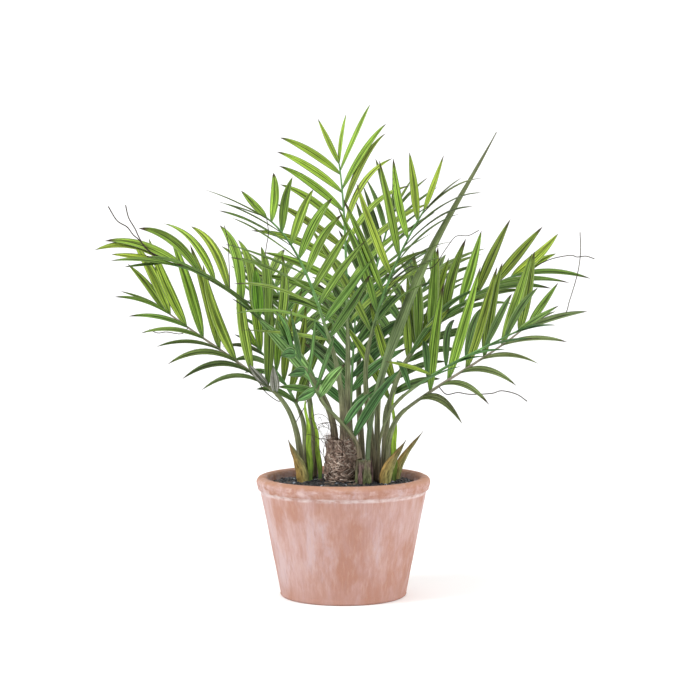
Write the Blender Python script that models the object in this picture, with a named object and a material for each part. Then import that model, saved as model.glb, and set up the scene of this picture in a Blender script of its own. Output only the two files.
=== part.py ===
"""A potted areca palm of moulded plastic, in its terracotta pot.

Metres, +Z up. The origin is the middle of the pot's flat underside, and the
photographed side faces -Y. Each frond is a petiole and a blade: the blade is a
rib with its leaflets joined on in one union. Everything that grows is worked
out from where it stands, where its leaflets begin and where it ends.
"""

import math
import random
from collections import namedtuple

import bmesh
import bpy
from mathutils import Quaternion, Vector
from mathutils.bvhtree import BVHTree

UP = Vector((0, 0, 1))
# Neighbours that touch keep this gap, and a leaflet keeps this room to other fronds
GAP = 0.0003
ROOM = 0.0007

# Pot: radii and heights of its turned profile
POT_HEIGHT = 0.137
POT_SIDES = 36
FOOT_RADIUS = 0.0728
FOOT_EDGE = 0.003
WALL_TOP_RADIUS = 0.0957
LIP_RADIUS = 0.1003
LIP_BOTTOM = 0.1215
LIP_BULGE = 0.0095
LIP_ROUND = 0.0045
MOUTH_RADIUS = 0.0872
MOUTH_EDGE = 0.004
FLOOR = 0.012
FLOOR_RADIUS = 0.0655

# Soil: it fills the pot and is flat where the stems stand
SOIL_EDGE = 0.127
SOIL_TOP = 0.130
SOIL_FLAT_RADIUS = 0.068

# What stands on the soil besides the fronds
STUB_PLACE = Vector((-0.002, 0.010, SOIL_TOP + GAP))
STUB_HEIGHT = 0.047
STUB_RADII = (0.0185, 0.0200, 0.0185, 0.0165, 0.0150)
SIDE_STEM_PLACE = Vector((0.0235, -0.0145, SOIL_TOP + GAP))
SIDE_STEM_HEIGHT = 0.027
SIDE_STEM_RADII = (0.0080, 0.0086, 0.0080)
STEM_SIDES = 12

# Petioles and ribs: half thicknesses, and how many sides and rings they have
FOOT_THICK = 0.0044
SHOULDER_THICK = 0.0024
RIB_TIP_THICK = 0.0011
PETIOLE_SIDES = 6
PETIOLE_RINGS = 7
RIB_SIDES = 4
RIB_RINGS = 8

# Leaflets stand in pairs along the rib. The right one of a pair stands this part
# of their spacing nearer the tip, and the left one as much further from it.
STAGGER = 0.08
# The pair at the rib's end: degrees from the rib, and its length, rise, width and
# sag as parts of what its row has
END_SWEEP = 14
END_LENGTH = 0.47
END_RISE = 0.3
END_WIDTH = 0.7
END_SAG = 0.3
# How much one leaflet differs from the next, in degrees and as a part of its length
SWEEP_SPREAD = 5
ROLL_SPREAD = 10
LENGTH_SPREAD = 0.09
# Thickness as a part of a leaflet's length, and the root as a part of the rib's
LEAFLET_THICKNESS = 0.0125
ROOT_PART = 0.6
# Width at these parts of the length, between the root and the pointed end
LEAFLET_OUTLINE = ((0.15, 0.78), (0.4, 1.0), (0.66, 0.88), (0.86, 0.5))
# Degrees and lengths that are tried in this order until the leaflet is clear
TURNS = (0, 7, -7, 14, -14, 21, -21, 30, -30)
SHORTER = (1.0, 0.8, 0.6)
FIRST_SEED = 100

# One side of a frond. sweep and tip_sweep: degrees from the rib at its shoulder and
# tip. rise: degrees that the row is lifted from the frond's plane. reach: the length
# at the shoulder, and taper what is left of it at the tip. roll: degrees that the
# leaflets are turned about their own length. sag and tip_sag: how far the end
# hangs down, as a part of the length.
Row = namedtuple("Row", "count sweep tip_sweep rise reach taper width roll sag tip_sag")
# foot: where the petiole stands. shoulder and tip: the ends of the rib. facing:
# where the upper face looks. arch: how much the line climbs at the shoulder and
# bends over at the tip. left and right: the rows, seen with the tip up. stout: the
# thickness of the petiole's foot, as a part of the usual one.
Frond = namedtuple("Frond", "name foot shoulder tip facing arch left right stout", defaults=(1.0,))

ON_SOIL = SOIL_TOP + GAP
ON_STUB = ON_SOIL + STUB_HEIGHT + GAP
ON_SIDE_STEM = ON_SOIL + SIDE_STEM_HEIGHT + GAP

BACK_ROW = Row(7, 52, 28, 14, 0.105, 0.80, 0.0115, 0, 0.15, 0.15)
FRONDS = (
    Frond("left_low", (-0.049, 0.013, ON_SOIL), (-0.077, 0.012, 0.230),
          (-0.208, 0.028, 0.327), (0.10, -1.00, 0.15), -0.03,
          Row(7, 36, 30, 74, 0.108, 0.74, 0.0088, 55, 0.55, 0.20),
          Row(7, 46, 30, 12, 0.142, 0.68, 0.0125, 0, 0.05, 0.05)),
    Frond("left_high", (-0.010, 0.006, ON_STUB), (-0.067, -0.008, 0.289),
          (-0.203, -0.028, 0.381), (0.15, -0.75, 0.65), 0.47,
          Row(5, 18, 12, 60, 0.090, 0.95, 0.0082, 20, 0.20, 0.20),
          Row(9, 49, 27, 12, 0.136, 0.80, 0.0132, 0, 0.25, 0.42)),
    Frond("front_left", (0.000, -0.001, ON_STUB), (-0.013, -0.030, 0.287),
          (-0.083, -0.100, 0.432), (0.45, -0.85, 0.30), 0.52,
          Row(9, 58, 10, 15, 0.150, 0.72, 0.0090, 66, 0.12, 0.12),
          Row(9, 54, 54, 12, 0.102, 0.70, 0.0125, 0, 0.15, 0.28)),
    Frond("top", (0.004, 0.016, ON_STUB), (0.005, 0.032, 0.296),
          (-0.005, 0.060, 0.495), (0.00, -1.00, 0.10), 0.63,
          Row(9, 52, 36, 10, 0.140, 0.68, 0.0096, 0, 0.32, 0.32),
          Row(9, 46, 22, 10, 0.150, 0.78, 0.0088, 32, 0.32, 0.32)),
    Frond("centre_right", (0.036, 0.020, ON_SOIL), (0.030, -0.014, 0.293),
          (0.090, -0.042, 0.440), (-0.50, -0.85, 0.15), 0.31,
          Row(7, 44, 38, 10, 0.142, 0.46, 0.0110, 0, 0.03, 0.03),
          Row(8, 30, 17, 25, 0.138, 0.82, 0.0095, 68, 0.30, 0.34)),
    Frond("top_right", (0.022, 0.043, ON_SOIL), (0.022, 0.072, 0.301),
          (0.058, 0.112, 0.440), (-0.20, -1.00, 0.30), 0.10,
          Row(8, 44, 24, 10, 0.104, 0.75, 0.0100, 40, 0.10, 0.10),
          Row(8, 44, 20, 10, 0.104, 0.75, 0.0100, 50, 0.15, 0.15)),
    Frond("right_front", (0.0385, -0.003, ON_SOIL), (0.067, -0.048, 0.233),
          (0.188, -0.122, 0.310), (-0.30, -0.45, 0.90), 0.05,
          Row(6, 96, 58, 15, 0.122, 0.62, 0.0085, 66, 0.42, 0.15),
          Row(5, 14, 10, 10, 0.080, 0.85, 0.0095, 20, 0.15, 0.15)),
    Frond("right_low", (0.049, -0.002, ON_SOIL), (0.071, -0.006, 0.214),
          (0.210, -0.018, 0.312), (-0.10, -1.00, 0.10), -0.15,
          Row(7, 50, 38, 10, 0.134, 0.74, 0.0122, 0, 0.05, 0.05),
          Row(6, 31, 26, 72, 0.073, 1.45, 0.0098, 58, 0.80, 0.18)),
    Frond("right_high", (0.047, 0.013, ON_SOIL), (0.080, 0.034, 0.277),
          (0.207, 0.040, 0.368), (0.00, -1.00, 0.30), 0.34,
          Row(7, 48, 20, 10, 0.108, 0.62, 0.0120, 0, 0.03, 0.03),
          Row(6, 26, 22, 60, 0.105, 0.80, 0.0090, 40, 0.30, 0.25)),
    Frond("inner_left", (-0.046, 0.032, ON_SOIL), (-0.0515, 0.045, 0.208),
          (-0.101, 0.055, 0.281), (0.05, -1.00, 0.15), 0.20,
          Row(4, 40, 28, 60, 0.075, 0.85, 0.0095, 50, 0.40, 0.40),
          Row(6, 48, 34, 10, 0.118, 0.85, 0.0112, 0, 0.05, 0.05)),
    Frond("inner_right", (0.056, 0.030, ON_SOIL), (0.051, 0.035, 0.215),
          (0.090, 0.045, 0.290), (-0.10, -1.00, 0.20), 0.20,
          Row(5, 46, 34, 10, 0.112, 0.80, 0.0112, 0, 0.05, 0.05),
          Row(4, 40, 28, 40, 0.080, 0.85, 0.0100, 30, 0.35, 0.35)),
    Frond("back_left", (-0.034, 0.030, ON_SOIL), (-0.048, 0.078, 0.258),
          (-0.094, 0.185, 0.366), (0.45, -0.60, 0.75), 0.25,
          BACK_ROW, BACK_ROW),
    Frond("back", (0.002, 0.048, ON_SOIL), (0.002, 0.092, 0.249),
          (0.010, 0.225, 0.335), (0.05, -0.50, 0.90), 0.30,
          BACK_ROW, BACK_ROW),
    Frond("back_right", (0.040, 0.036, ON_SOIL), (0.050, 0.074, 0.263),
          (0.117, 0.190, 0.368), (-0.35, -0.60, 0.75), 0.25,
          BACK_ROW, BACK_ROW),
    Frond("front", (0.0188, -0.0145, ON_SIDE_STEM), (-0.026, -0.060, 0.232),
          (-0.058, -0.130, 0.296), (0.10, -0.80, 0.60), 0.10,
          Row(3, 52, 20, 10, 0.062, 0.85, 0.0125, 0, 0.10, 0.10),
          Row(4, 66, 12, 10, 0.078, 0.80, 0.0130, 0, 0.15, 0.10), 0.65),
    Frond("centre", (0.012, 0.034, ON_SOIL), (0.008, 0.034, 0.204),
          (0.014, 0.055, 0.320), (0.10, -1.00, 0.10), 0.10,
          Row(7, 50, 28, 10, 0.086, 0.88, 0.0115, 0, 0.12, 0.12),
          Row(7, 48, 26, 10, 0.092, 0.88, 0.0115, 0, 0.12, 0.12)),
)

# The rolled leaf that hasn't opened: its foot, a point where it is widest, its
# tip, and its half thickness from foot to tip
SPEAR_FOOT = Vector((0.0278, -0.0145, ON_SIDE_STEM))
SPEAR_WAIST = Vector((0.0785, -0.0270, 0.3500))
SPEAR_TIP = Vector((0.1720, -0.0220, 0.5280))
SPEAR_THICK = (0.0028, 0.0030, 0.0042, 0.0064, 0.0054, 0.0043, 0.0032, 0.0021, 0.0006)

# Pointed sheaths and young leaves that stand on the soil. bow: how far the
# pointed end leans out past the line from foot to tip.
Blade = namedtuple("Blade", "name foot tip bow width thick facing")
SHEATHS = (
    Blade("sheath_left", (-0.046, -0.005, ON_SOIL), (-0.063, -0.012, 0.180),
          0.10, 0.0150, 0.0040, (0.20, -1.00, 0.00)),
    Blade("sheath_right", (0.047, -0.016, ON_SOIL), (0.071, -0.026, 0.181),
          0.16, 0.0150, 0.0040, (-0.20, -1.00, 0.00)),
    Blade("sheath_right_outer", (0.061, 0.020, ON_SOIL), (0.092, 0.014, 0.187),
          0.22, 0.0105, 0.0034, (-0.20, -1.00, 0.00)),
)
YOUNG_LEAVES = (
    Blade("young_leaf_left", (-0.038, 0.004, ON_SOIL), (-0.043, -0.010, 0.231),
          -0.09, 0.0072, 0.0018, (0.10, -1.00, 0.00)),
    Blade("young_leaf_left_back", (-0.0270, 0.016, ON_SOIL), (-0.036, 0.014, 0.219),
          -0.05, 0.0060, 0.0016, (0.10, -1.00, 0.00)),
    Blade("young_leaf_right", (0.0585, 0.006, ON_SOIL), (0.058, 0.012, 0.232),
          -0.05, 0.0075, 0.0018, (-0.10, -1.00, 0.00)),
)
SHEATH_OUTLINE = ((0.0, 0.85), (0.12, 1.0), (0.35, 0.86), (0.65, 0.48), (1.0, 0.05))
YOUNG_OUTLINE = ((0.0, 0.65), (0.2, 1.0), (0.5, 0.82), (0.8, 0.46), (1.0, 0.08))

COLOURS = {
    "terracotta": ((0.55, 0.30, 0.21, 1), 0.85),
    "soil": ((0.02, 0.02, 0.02, 1), 0.95),
    "fibre": ((0.16, 0.09, 0.055, 1), 0.9),
    "stem": ((0.13, 0.16, 0.05, 1), 0.55),
    "sheath": ((0.30, 0.25, 0.09, 1), 0.55),
    "young": ((0.20, 0.45, 0.03, 1), 0.5),
    "leaf": ((0.08, 0.26, 0.04, 1), 0.5),
}


def clear_scene():
    for obj in list(bpy.data.objects):
        bpy.data.objects.remove(obj)


def material(name):
    made = bpy.data.materials.get(name)
    if made is None:
        colour, roughness = COLOURS[name]
        made = bpy.data.materials.new(name)
        made.use_nodes = True
        surface = made.node_tree.nodes["Principled BSDF"]
        surface.inputs["Base Color"].default_value = colour
        surface.inputs["Roughness"].default_value = roughness
        surface.inputs["Metallic"].default_value = 0
    return made


def object_from(name, bm, colour):
    """An object holding this bmesh, with its faces turned outward."""
    bmesh.ops.recalc_face_normals(bm, faces=bm.faces)
    mesh = bpy.data.meshes.new(name)
    bm.to_mesh(mesh)
    bm.free()
    mesh.materials.append(material(colour))
    obj = bpy.data.objects.new(name, mesh)
    bpy.context.scene.collection.objects.link(obj)
    return obj


def turned(name, profile, colour):
    """A closed body turned from (radius, height) points that begin and end on the axis."""
    bm = bmesh.new()
    points = [bm.verts.new((radius, 0, height)) for radius, height in profile]
    for lower, upper in zip(points, points[1:]):
        bm.edges.new((lower, upper))
    bmesh.ops.spin(
        bm, geom=bm.verts[:] + bm.edges[:], axis=UP, angle=math.tau,
        steps=POT_SIDES, use_merge=True,
    )
    bmesh.ops.remove_doubles(bm, verts=bm.verts, dist=1e-5)
    return object_from(name, bm, colour)


def loft(bm, rings):
    """A closed skin through rings of points, with flat ends; a ring of one point is a tip."""
    made = [[bm.verts.new(point) for point in ring] for ring in rings]
    for lower, upper in zip(made, made[1:]):
        count = len(lower)
        for i in range(count):
            j = (i + 1) % count
            if len(upper) == 1:
                bm.faces.new((lower[i], lower[j], upper[0]))
            else:
                bm.faces.new((lower[i], lower[j], upper[j], upper[i]))
    for ring in (made[0], made[-1]):
        if len(ring) > 2:
            bm.faces.new(ring)


def ring_round(centre, along, side, radius, count):
    """A regular ring of points square to the direction along."""
    across = along.cross(side).normalized()
    level = across.cross(along).normalized()
    steps = (math.tau * i / count for i in range(count))
    return [centre + radius * (math.cos(a) * level + math.sin(a) * across) for a in steps]


def hermite(start, start_pull, end, end_pull, t):
    return (
        (2 * t**3 - 3 * t**2 + 1) * start
        + (t**3 - 2 * t**2 + t) * start_pull
        + (3 * t**2 - 2 * t**3) * end
        + (t**3 - t**2) * end_pull
    )


def hermite_slope(start, start_pull, end, end_pull, t):
    return (
        (6 * t**2 - 6 * t) * (start - end)
        + (3 * t**2 - 4 * t + 1) * start_pull
        + (3 * t**2 - 2 * t) * end_pull
    )


class Axis:
    """A frond's centre line: its petiole to the shoulder, then its rib to the tip."""

    def __init__(self, frond):
        self.foot = Vector(frond.foot)
        self.shoulder = Vector(frond.shoulder)
        self.tip = Vector(frond.tip)
        whole = self.tip - self.foot
        rib = self.tip - self.shoulder
        climb = (whole.normalized() + rib.normalized() + frond.arch * UP).normalized()
        droop = (rib.normalized() - frond.arch * UP).normalized()
        petiole = (self.shoulder - self.foot).length
        self.petiole = (self.foot, UP * petiole, self.shoulder, climb * petiole)
        self.rib = (self.shoulder, climb * rib.length, self.tip, droop * rib.length)
        self.facing = Vector(frond.facing)

    def petiole_at(self, t):
        return hermite(*self.petiole, t), hermite_slope(*self.petiole, t).normalized()

    def rib_at(self, t):
        return hermite(*self.rib, t), hermite_slope(*self.rib, t).normalized()

    def frame(self, t):
        """The rib's place, direction, side and upper face at t."""
        place, along = self.rib_at(t)
        side = along.cross(self.facing).normalized()
        return place, along, side, side.cross(along).normalized()


def mix(start, end, t):
    return start + (end - start) * t


def petiole(frond, axis):
    bm = bmesh.new()
    rings = []
    for i in range(PETIOLE_RINGS):
        t = i / (PETIOLE_RINGS - 1)
        place, along = axis.petiole_at(t)
        if i == PETIOLE_RINGS - 1:
            place = place - along * GAP
        thick = mix(FOOT_THICK * frond.stout, SHOULDER_THICK, t)
        rings.append(ring_round(place, along, axis.facing, thick, PETIOLE_SIDES))
    loft(bm, rings)
    return object_from("petiole_" + frond.name, bm, "stem")


def rib(frond, axis):
    bm = bmesh.new()
    rings = []
    for i in range(RIB_RINGS):
        t = i / (RIB_RINGS - 1)
        place, along = axis.rib_at(t)
        side = along.cross(axis.facing)
        thick = mix(SHOULDER_THICK, RIB_TIP_THICK, t)
        rings.append(ring_round(place, along, side, thick, RIB_SIDES))
    loft(bm, rings)
    return object_from("frond_" + frond.name, bm, "leaf")


Leaflet = namedtuple("Leaflet", "t hand sweep rise length width roll sag")


def leaflets_of(frond, number):
    """The frond's leaflets, row by row from shoulder to tip, before any is turned aside."""
    dice = random.Random(FIRST_SEED + number)
    found = []
    for hand, row in ((-1, frond.left), (1, frond.right)):
        for i in range(row.count):
            t = (i + 0.5 + STAGGER * hand) / row.count
            length = row.reach * (1 - (1 - row.taper) * t * t)
            sweep = mix(row.sweep, row.tip_sweep, t) + dice.uniform(-SWEEP_SPREAD, SWEEP_SPREAD)
            sag = mix(row.sag, row.tip_sag, t)
            found.append(varied(dice, t, hand, row, sweep, row.rise, length, row.width, sag))
        found.append(varied(
            dice, 1.0, hand, row, END_SWEEP, END_RISE * row.rise, END_LENGTH * row.reach,
            END_WIDTH * row.width, END_SAG * row.tip_sag,
        ))
    return found


def varied(dice, t, hand, row, sweep, rise, length, width, sag):
    """A leaflet whose length and roll differ a little from its row's."""
    length *= dice.uniform(1 - LENGTH_SPREAD, 1 + LENGTH_SPREAD)
    roll = row.roll + dice.uniform(-ROLL_SPREAD, ROLL_SPREAD)
    return Leaflet(t, hand, sweep, rise, length, width, roll, sag)


def leaflet_rings(axis, leaflet, turn, short, room):
    """The rings of a leaflet: two edges and a keel, narrowing to a pointed end."""
    place, along, side, face = axis.frame(leaflet.t)
    rise = math.radians(leaflet.rise + turn)
    sweep = math.radians(leaflet.sweep)
    outward = side * (leaflet.hand * math.cos(rise)) + face * math.sin(rise)
    heading = (along * math.cos(sweep) + outward * math.sin(sweep)).normalized()
    length = leaflet.length * short
    sag = leaflet.sag * length
    roll = Quaternion(heading, math.radians(-leaflet.hand * leaflet.roll))
    flat = roll @ heading.cross(face).normalized()
    above = flat.cross(heading).normalized()
    root = ROOT_PART * mix(SHOULDER_THICK, RIB_TIP_THICK, leaflet.t)
    thick = LEAFLET_THICKNESS * leaflet.length
    rings = []
    for t, half, deep in ((0.0, root, root), *(
            (t, part * leaflet.width / 2, thick) for t, part in LEAFLET_OUTLINE)):
        centre = place + heading * (t * length) - UP * (sag * t**2)
        edge = flat * (half + room)
        lift = above * (deep / 2 + room)
        rings.append([centre + lift + edge, centre + lift - edge, centre - lift])
    rings.append([place + heading * (length + room) - UP * sag])
    return rings


def tree_of(obj):
    bm = bmesh.new()
    bm.from_mesh(obj.data)
    tree = BVHTree.FromBMesh(bm)
    bm.free()
    return tree


def is_clear(axis, leaflet, turn, short, others):
    bm = bmesh.new()
    loft(bm, leaflet_rings(axis, leaflet, turn, short, ROOM))
    tree = BVHTree.FromBMesh(bm)
    bm.free()
    return not any(tree.overlap(other) for other in others)


def settle(axis, leaflet, others):
    """The first turn and length at which the leaflet is clear, or None to skip it."""
    for short in SHORTER:
        for turn in TURNS:
            if is_clear(axis, leaflet, turn, short, others):
                return turn, short
    return None


def join(body, pieces):
    """Unions the pieces onto the body in one Boolean, applies it and removes them."""
    group = bpy.data.collections.new("pieces_of_" + body.name)
    bpy.context.scene.collection.children.link(group)
    for piece in pieces:
        bpy.context.scene.collection.objects.unlink(piece)
        group.objects.link(piece)
    union = body.modifiers.new("join", "BOOLEAN")
    union.operation = "UNION"
    union.operand_type = "COLLECTION"
    union.collection = group
    union.solver = "EXACT"
    bpy.context.view_layer.update()
    graph = bpy.context.evaluated_depsgraph_get()
    joined = bpy.data.meshes.new_from_object(body.evaluated_get(graph))
    body.modifiers.clear()
    body.data = joined
    for piece in pieces:
        bpy.data.objects.remove(piece)
    bpy.data.collections.remove(group)


def shells_of(bm):
    """The mesh's faces in groups that hang together across their edges."""
    left = set(bm.faces)
    shells = []
    while left:
        shell = [left.pop()]
        for face in shell:
            near = {other for edge in face.edges for other in edge.link_faces} & left
            left -= near
            shell += near
        shells.append(shell)
    return shells


def volume_of(shell):
    total = 0.0
    for face in shell:
        first = face.verts[0].co
        for one, two in zip(face.verts[1:], face.verts[2:]):
            total += first.dot(one.co.cross(two.co)) / 6
    return total


def keep_one_body(obj):
    """Fills any hollow that the union sealed and drops any loose scrap."""
    bm = bmesh.new()
    bm.from_mesh(obj.data)
    shells = sorted(shells_of(bm), key=volume_of)
    spare = [face for shell in shells[:-1] for face in shell]
    bmesh.ops.delete(bm, geom=spare, context="FACES")
    bm.to_mesh(obj.data)
    bm.free()


def frond_blade(frond, axis, number, blade, others):
    pieces = []
    for leaflet in leaflets_of(frond, number):
        found = settle(axis, leaflet, others)
        if found is None:
            continue
        bm = bmesh.new()
        loft(bm, leaflet_rings(axis, leaflet, *found, 0.0))
        pieces.append(object_from("leaflet", bm, "leaf"))
    join(blade, pieces)
    keep_one_body(blade)


def standing_blade(blade, outline, colour):
    """A pointed blade or sheath that stands on the soil and bows aside."""
    bm = bmesh.new()
    foot, tip = Vector(blade.foot), Vector(blade.tip)
    height = (tip - foot).length
    lean = ((tip - foot).normalized() - blade.bow * UP).normalized()
    pulls = (foot, UP * height, tip, lean * height)
    rings = []
    for t, part in outline:
        centre = hermite(*pulls, t)
        along = hermite_slope(*pulls, t).normalized()
        flat = along.cross(Vector(blade.facing)).normalized() * (part * blade.width / 2)
        deep = flat.cross(along).normalized() * (part * blade.thick / 2)
        rings.append([
            centre + flat, centre + 0.5 * flat + deep, centre - 0.5 * flat + deep,
            centre - flat, centre - 0.5 * flat - deep, centre + 0.5 * flat - deep,
        ])
    loft(bm, rings)
    return object_from(blade.name, bm, colour)


def upright(name, foot, height, radii, colour):
    """A short round stem whose radius changes with height."""
    bm = bmesh.new()
    rings = []
    for i, radius in enumerate(radii):
        centre = foot + UP * (height * i / (len(radii) - 1))
        rings.append(ring_round(centre, UP, Vector((0, 1, 0)), radius, STEM_SIDES))
    loft(bm, rings)
    return object_from(name, bm, colour)


def spear_at(t):
    """The rolled leaf's place and direction at t, on two curves that meet at its waist."""
    lower, upper = SPEAR_WAIST - SPEAR_FOOT, SPEAR_TIP - SPEAR_WAIST
    lean = (lower.normalized() + upper.normalized()).normalized()
    if t < 0.5:
        pulls = (SPEAR_FOOT, UP * lower.length, SPEAR_WAIST, lean * lower.length)
    else:
        pulls = (SPEAR_WAIST, lean * upper.length, SPEAR_TIP, upper)
    t = 2 * t if t < 0.5 else 2 * t - 1
    return hermite(*pulls, t), hermite_slope(*pulls, t).normalized()


def spear():
    bm = bmesh.new()
    rings = []
    for i, thick in enumerate(SPEAR_THICK):
        centre, along = spear_at(i / (len(SPEAR_THICK) - 1))
        rings.append(ring_round(centre, along, Vector((0, 1, 0)), thick, PETIOLE_SIDES))
    loft(bm, rings)
    return object_from("spear_leaf", bm, "stem")


def pot():
    foot_mid = FOOT_EDGE * (1 - math.sqrt(0.5))
    return turned("pot", (
        (0, 0),
        (FOOT_RADIUS - FOOT_EDGE, 0),
        (FOOT_RADIUS - foot_mid, foot_mid),
        (FOOT_RADIUS, FOOT_EDGE),
        (WALL_TOP_RADIUS, LIP_BOTTOM),
        (mix(WALL_TOP_RADIUS, LIP_RADIUS, 0.7), LIP_BOTTOM + LIP_BULGE / 3),
        (LIP_RADIUS, LIP_BOTTOM + LIP_BULGE),
        (LIP_RADIUS - LIP_ROUND / 3, POT_HEIGHT - LIP_ROUND / 3),
        (LIP_RADIUS - LIP_ROUND, POT_HEIGHT),
        (MOUTH_RADIUS + MOUTH_EDGE, POT_HEIGHT),
        (MOUTH_RADIUS, POT_HEIGHT - MOUTH_EDGE),
        (FLOOR_RADIUS, FLOOR),
        (0, FLOOR),
    ), "terracotta")


def wall_inside(height):
    """The radius of the pot's inner wall at this height."""
    return mix(FLOOR_RADIUS, MOUTH_RADIUS, (height - FLOOR) / (POT_HEIGHT - MOUTH_EDGE - FLOOR))


def soil():
    return turned("soil", (
        (0, FLOOR + GAP),
        (wall_inside(FLOOR + GAP) - GAP, FLOOR + GAP),
        (wall_inside(SOIL_EDGE) - GAP, SOIL_EDGE),
        (SOIL_FLAT_RADIUS, SOIL_TOP),
        (0, SOIL_TOP),
    ), "soil")


def build():
    clear_scene()
    fixed = [
        pot(),
        soil(),
        upright("trunk_stub", STUB_PLACE, STUB_HEIGHT, STUB_RADII, "fibre"),
        upright("side_stem", SIDE_STEM_PLACE, SIDE_STEM_HEIGHT, SIDE_STEM_RADII, "stem"),
        spear(),
    ]
    fixed += [standing_blade(blade, SHEATH_OUTLINE, "sheath") for blade in SHEATHS]
    fixed += [standing_blade(blade, YOUNG_OUTLINE, "young") for blade in YOUNG_LEAVES]
    axes = {frond.name: Axis(frond) for frond in FRONDS}
    fixed += [petiole(frond, axes[frond.name]) for frond in FRONDS]
    blades = {frond.name: rib(frond, axes[frond.name]) for frond in FRONDS}
    trees = {obj.name: tree_of(obj) for obj in fixed + list(blades.values())}
    for number, frond in enumerate(FRONDS):
        blade = blades[frond.name]
        others = [tree for name, tree in trees.items() if name != blade.name]
        frond_blade(frond, axes[frond.name], number, blade, others)
        trees[blade.name] = tree_of(blade)


build()
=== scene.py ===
"""The looks of a potted areca palm of moulded plastic, in its terracotta pot.

Metres, +Z up, the photographed side faces -Y. Fronds, stems, leaves, fibres and
threads are swept along lines by one node tree, and soil crumbs are strewn by
another. Every node of the frame has a finer piece here that stands for it.
"""

import math
import random
from collections import namedtuple

import bmesh
import bpy
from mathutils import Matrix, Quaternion, Vector, noise
from mathutils.kdtree import KDTree


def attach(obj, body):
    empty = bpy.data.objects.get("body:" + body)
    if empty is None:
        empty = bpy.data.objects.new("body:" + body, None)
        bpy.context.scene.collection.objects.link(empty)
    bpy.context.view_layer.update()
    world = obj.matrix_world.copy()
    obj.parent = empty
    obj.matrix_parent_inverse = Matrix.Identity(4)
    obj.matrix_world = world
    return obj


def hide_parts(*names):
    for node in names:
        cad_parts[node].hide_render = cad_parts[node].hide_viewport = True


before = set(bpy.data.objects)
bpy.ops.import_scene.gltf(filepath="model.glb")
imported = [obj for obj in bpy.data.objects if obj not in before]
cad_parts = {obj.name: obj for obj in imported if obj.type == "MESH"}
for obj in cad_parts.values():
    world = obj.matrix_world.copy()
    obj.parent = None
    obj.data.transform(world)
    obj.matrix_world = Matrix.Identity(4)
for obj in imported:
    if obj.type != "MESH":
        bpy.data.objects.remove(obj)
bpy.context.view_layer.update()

UP = Vector((0, 0, 1))
GAP = 0.0003

# Pot: radii and heights of its turned profile
POT_HEIGHT = 0.137
FOOT_RADIUS = 0.0728
FOOT_EDGE = 0.003
WALL_TOP_RADIUS = 0.0957
LIP_RADIUS = 0.1003
LIP_BOTTOM = 0.1215
MOUTH_RADIUS = 0.0872
FLOOR = 0.012
FLOOR_RADIUS = 0.0655
POT_SIDES = 144

# Soil
SOIL_EDGE = 0.127
SOIL_TOP = 0.130
SOIL_FLAT_RADIUS = 0.068

# What stands on the soil besides the fronds
STUB_PLACE = Vector((-0.002, 0.010, SOIL_TOP + GAP))
STUB_HEIGHT = 0.047
STUB_RADII = (0.0185, 0.0200, 0.0185, 0.0165, 0.0150)
SIDE_STEM_PLACE = Vector((0.0235, -0.0145, SOIL_TOP + GAP))
SIDE_STEM_HEIGHT = 0.027
SIDE_STEM_RADII = (0.0080, 0.0086, 0.0080)

# Petioles and ribs: half thicknesses
FOOT_THICK = 0.0044
SHOULDER_THICK = 0.0024
RIB_TIP_THICK = 0.0011

# Leaflets, by the rule of the solids
STAGGER = 0.08
END_SWEEP = 14
END_LENGTH = 0.47
END_RISE = 0.3
END_WIDTH = 0.7
END_SAG = 0.3
SWEEP_SPREAD = 5
ROLL_SPREAD = 10
LENGTH_SPREAD = 0.09
TURNS = (0, 7, -7, 14, -14, 21, -21, 30, -30)
SHORTER = (1.0, 0.8, 0.6)
FIRST_SEED = 100

ON_SOIL = SOIL_TOP + GAP
ON_STUB = ON_SOIL + STUB_HEIGHT + GAP
ON_SIDE_STEM = ON_SOIL + SIDE_STEM_HEIGHT + GAP

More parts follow.
